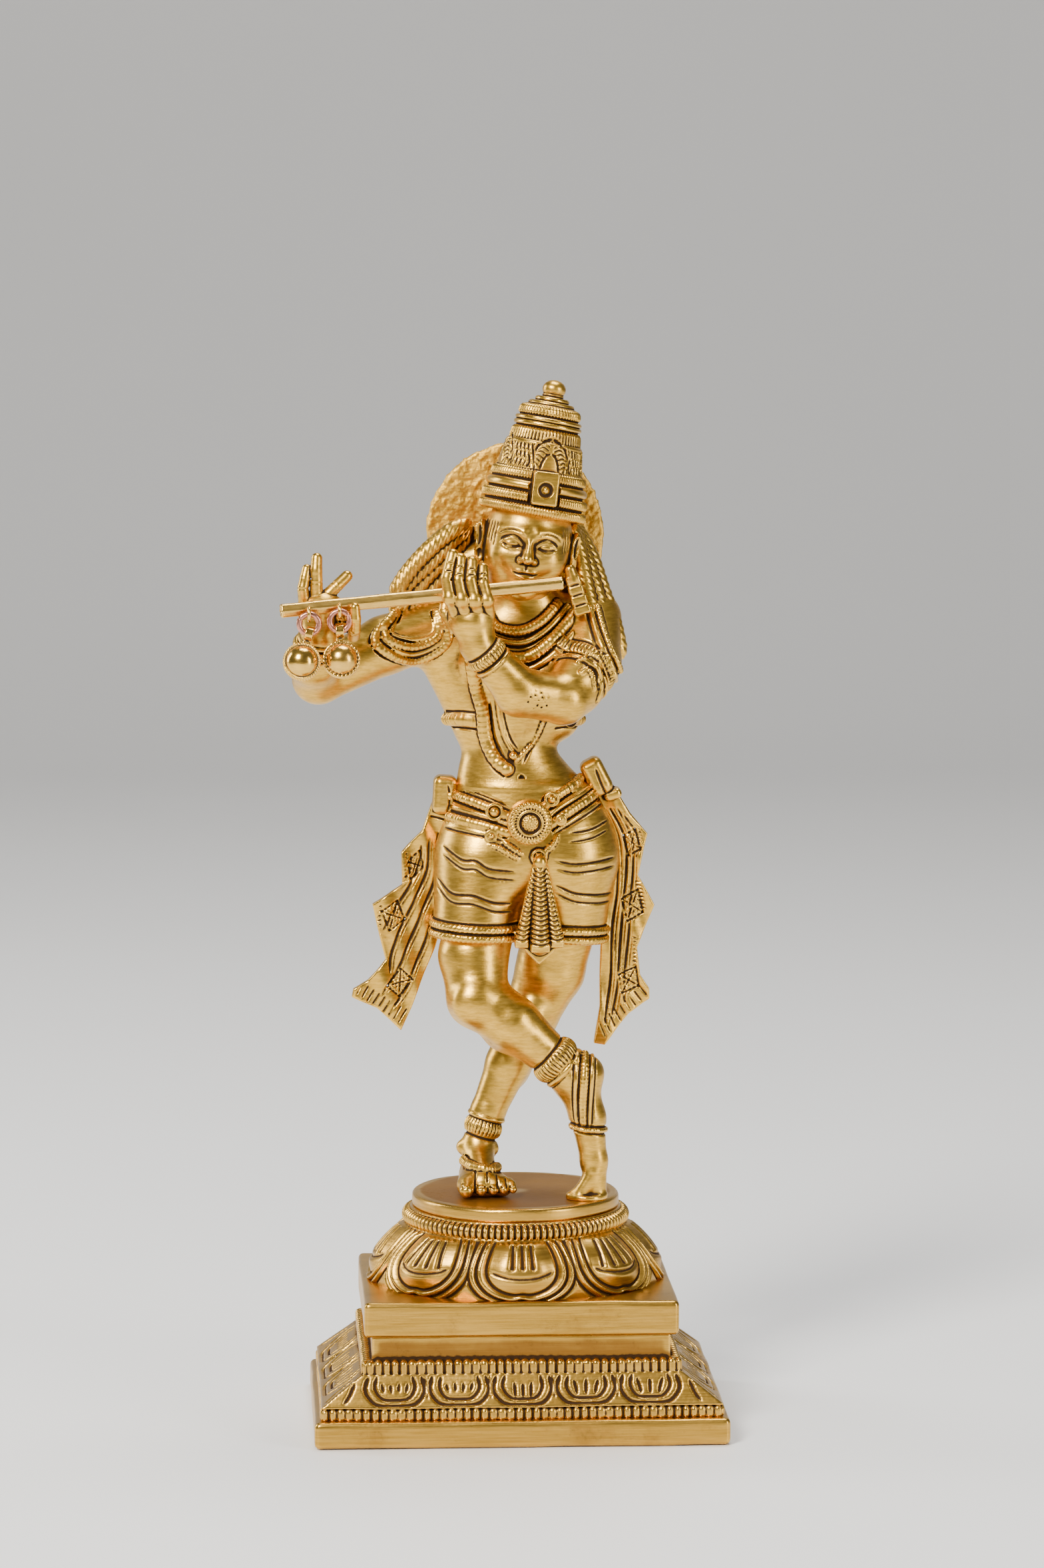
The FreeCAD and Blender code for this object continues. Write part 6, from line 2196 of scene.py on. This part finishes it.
def metal(
    name, light, dark, oxide, patina, groove=(
        0.508, 0.58), shine=0.27, dull=0.5, brush=(
            0.3, 0.3, 1.6), brush_bump=0.25, grain_bump=0.12, oxide_amount=0.35, broad_range=(
                0.518, 0.69)):
    """Cast metal: bright where it is rubbed, oxide round the relief and patina down in the cuts."""
    material = bpy.data.materials.new(name)
    material.use_nodes = True
    tree = material.node_tree
    shader = tree.nodes["Principled BSDF"]
    patches = noise_map(tree, 60, 6, 0.6)
    specks = noise_map(tree, 700, 3, 0.6)
    brushed = noise_map(tree, 900, 3, 0.7, brush)
    fine = attribute(tree, "fine")
    broad = attribute(tree, "broad")
    grime = arithmetic(
    tree,
    "ADD",
    fine,
    arithmetic(
        tree,
        "MULTIPLY",
        arithmetic(
            tree,
            "SUBTRACT",
            specks,
            0.5),
             0.10))
    grime = arithmetic(
    tree,
    "ADD",
    grime,
    arithmetic(
        tree,
        "MULTIPLY",
        arithmetic(
            tree,
            "SUBTRACT",
            patches,
            0.5),
             0.10))
    in_groove = remap(tree, grime, *groove)
    # broad is how deep a hollow is, where oxide stays; on the plinth's neck and the disc's top it also holds
    # painted shade
    shelter = arithmetic(
    tree, "ADD", broad, arithmetic(
        tree, "MULTIPLY", arithmetic(
            tree, "SUBTRACT", patches, 0.5), 0.3))
    in_shelter = remap(tree, shelter, *broad_range)
    stained = arithmetic(tree, "MULTIPLY", remap(tree, patches, 0.52, 0.72), oxide_amount)
    reddened = arithmetic(tree, "MAXIMUM", arithmetic(tree, "MULTIPLY", in_shelter, 0.75), stained)
    rubbed = remap(tree, fine, 0.47, 0.36)
    body = mix(tree, remap(tree, brushed, 0.3, 0.7), dark, light)
    body = mix(tree, arithmetic(tree, "MULTIPLY", rubbed, 0.6),
               body, tuple(min(1.0, c * 1.18) for c in light))
    # oxide colour: real oxide in hollows and patches, and painted shade on the plinth's neck and the disc's
    # top
    body = mix(tree, reddened, body, oxide)
    body = mix(tree, in_groove, body, patina)
    tree.links.new(body, shader.inputs["Base Color"])
    bare = arithmetic(tree, "SUBTRACT", 1.0, arithmetic(tree, "MULTIPLY", in_groove, 0.75))
    tree.links.new(bare, shader.inputs["Metallic"])
    shader.inputs["Specular IOR Level"].default_value = 0.15
    rough = arithmetic(tree, "ADD", arithmetic(tree, "MULTIPLY", brushed, 0.12), shine)
    rough = arithmetic(tree, "ADD", rough, arithmetic(tree, "MULTIPLY", reddened, dull - shine))
    rough = arithmetic(tree, "ADD", rough, arithmetic(tree, "MULTIPLY", in_groove, 0.35))
    rough = arithmetic(tree, "SUBTRACT", rough, arithmetic(tree, "MULTIPLY", rubbed, 0.08), True)
    tree.links.new(rough, shader.inputs["Roughness"])
    scratches = put(tree, "ShaderNodeBump")
    scratches.inputs["Strength"].default_value = brush_bump
    scratches.inputs["Distance"].default_value = 0.0001
    tree.links.new(brushed, scratches.inputs["Height"])
    pits = put(tree, "ShaderNodeBump")
    pits.inputs["Strength"].default_value = grain_bump
    pits.inputs["Distance"].default_value = 0.0004
    tree.links.new(arithmetic(tree, "ADD", specks, patches), pits.inputs["Height"])
    tree.links.new(scratches.outputs["Normal"], pits.inputs["Normal"])
    tree.links.new(pits.outputs["Normal"], shader.inputs["Normal"])
    return material


BRASS = dict(
    light=(
        0.80, 0.475, 0.075), dark=(
            0.58, 0.325, 0.04), oxide=(
                0.27, 0.105, 0.018), patina=(
                    0.03, 0.014, 0.005))
BASE_BRASS = dict(light=(0.66, 0.385, 0.07), dark=(0.48, 0.265, 0.038), oxide=(0.24, 0.095, 0.017),
                  patina=(0.04, 0.018, 0.006))
MATERIALS = {
    "cast_brass": metal("cast_brass", **BRASS),
    "base_brass": metal("base_brass", **BASE_BRASS, brush=(0.05, 0.05, 1.4), brush_bump=0.6),
    "halo_brass": metal("halo_brass", **BRASS, shine=0.5, dull=0.65, oxide_amount=0.75, grain_bump=0.9),
    "flute_brass": metal("flute_brass", light=(0.82, 0.52, 0.12), dark=(0.66, 0.39, 0.08),
                         oxide=(0.46, 0.22, 0.05), patina=(0.05, 0.03, 0.016), shine=0.25,
                         oxide_amount=0.15),
    "bell_brass": metal("bell_brass", light=(0.80, 0.49, 0.10), dark=(0.64, 0.37, 0.065),
                        oxide=(0.40, 0.19, 0.04), patina=(0.04, 0.028, 0.018), shine=0.2, oxide_amount=0.2),
    "copper": metal("copper", light=(0.62, 0.28, 0.19), dark=(0.42, 0.17, 0.115), oxide=(0.28, 0.10, 0.07),
                    patina=(0.05, 0.025, 0.02), shine=0.3, oxide_amount=0.4),
    "zinc_steel": metal("zinc_steel", light=(0.66, 0.66, 0.64), dark=(0.5, 0.5, 0.5), oxide=(0.4, 0.36, 0.3),
                        patina=(0.06, 0.05, 0.045), shine=0.35, oxide_amount=0.2),
}


def dress():
    """Gives each piece the material of its slot."""
    for piece in PIECES:
        slot = piece["finish"]
        piece.data.materials.clear()
        piece.data.materials.append(MATERIALS[slot])


# ---------------------------------------------------------------- floor, light and camera

def soft_floor():
    mesh = bpy.data.meshes.new("floor")
    wide, near, far = 3.0, -2.4, 2.6
    rows = [(near, 0.0), (far - 0.9, 0.0)]
    rows += [(far - 0.9 + 0.9 * math.sin(a), 0.9 - 0.9 * math.cos(a))
              for a in np.linspace(0.1, math.pi / 2, 14)]
    rows.append((far, 3.0))
    points = [(side * wide, y, z - 0.0002) for y, z in rows for side in (-1, 1)]
    faces = [(2 * i, 2 * i + 1, 2 * i + 3, 2 * i + 2) for i in range(len(rows) - 1)]
    mesh.from_pydata(points, [], faces)
    mesh.polygons.foreach_set("use_smooth", [True] * len(faces))
    floor = bpy.data.objects.new("floor", mesh)
    bpy.context.scene.collection.objects.link(floor)
    material = bpy.data.materials.new("pale_floor")
    material.use_nodes = True
    tree = material.node_tree
    shader = tree.nodes["Principled BSDF"]
    cloud = noise_map(tree, 3.0, 4, 0.6)
    tree.links.new(mix(tree, cloud, (0.88, 0.875, 0.865),
                   (0.92, 0.915, 0.91)), shader.inputs["Base Color"])
    shader.inputs["Roughness"].default_value = 0.5
    mesh.materials.append(material)


def softbox(name, place, target, size, power, colour=(1, 1, 1)):
    light = bpy.data.lights.new(name, "AREA")
    light.shape = "RECTANGLE"
    light.size, light.size_y = size
    light.energy = power
    light.color = colour
    thing = bpy.data.objects.new(name, light)
    thing.location = place
    thing.rotation_euler = (Vector(target) - Vector(place)).to_track_quat("-Z", "Y").to_euler()
    bpy.context.scene.collection.objects.link(thing)


# middle of the figure (m), which every light is aimed at, and the lights' powers (W)
LIT_POINT = (0, 0, 0.17)
KEY_POWER = 48
FILL_POWER = 14
TOP_POWER = 16
RIM_POWER = 10
WORLD_STRENGTH = 0.17


def lights():
    softbox("key", (-0.75, -1.15, 1.25), LIT_POINT, (0.45, 0.65), KEY_POWER, (1.0, 0.97, 0.90))
    softbox("fill", (1.25, -1.0, 0.55), LIT_POINT, (0.3, 1.0), FILL_POWER, (1.0, 0.98, 0.94))
    softbox("top", (0.15, 0.25, 1.5), LIT_POINT, (0.7, 0.5), TOP_POWER)
    softbox("rim", (-1.2, 0.5, 0.6), LIT_POINT, (0.3, 0.9), RIM_POWER)
    world = bpy.data.worlds.new("studio")
    world.use_nodes = True
    world.node_tree.nodes["Background"].inputs["Color"].default_value = (0.86, 0.86, 0.88, 1)
    world.node_tree.nodes["Background"].inputs["Strength"].default_value = WORLD_STRENGTH
    bpy.context.scene.world = world


CAMERA_PLACE = Vector((-0.0826, -1.5978, 0.3702))
CAMERA_LOOK = Vector((0.0525, 0.9921, -0.1135))
CAMERA_LENS = 126.6


def camera():
    data = bpy.data.cameras.new("photo_camera")
    data.lens = CAMERA_LENS
    data.sensor_width = 36
    thing = bpy.data.objects.new("photo_camera", data)
    thing.location = CAMERA_PLACE
    thing.rotation_euler = CAMERA_LOOK.to_track_quat("-Z", "Y").to_euler()
    bpy.context.scene.collection.objects.link(thing)
    bpy.context.scene.camera = thing


for build in BUILDERS:
    build()
dress()
soft_floor()
lights()
camera()
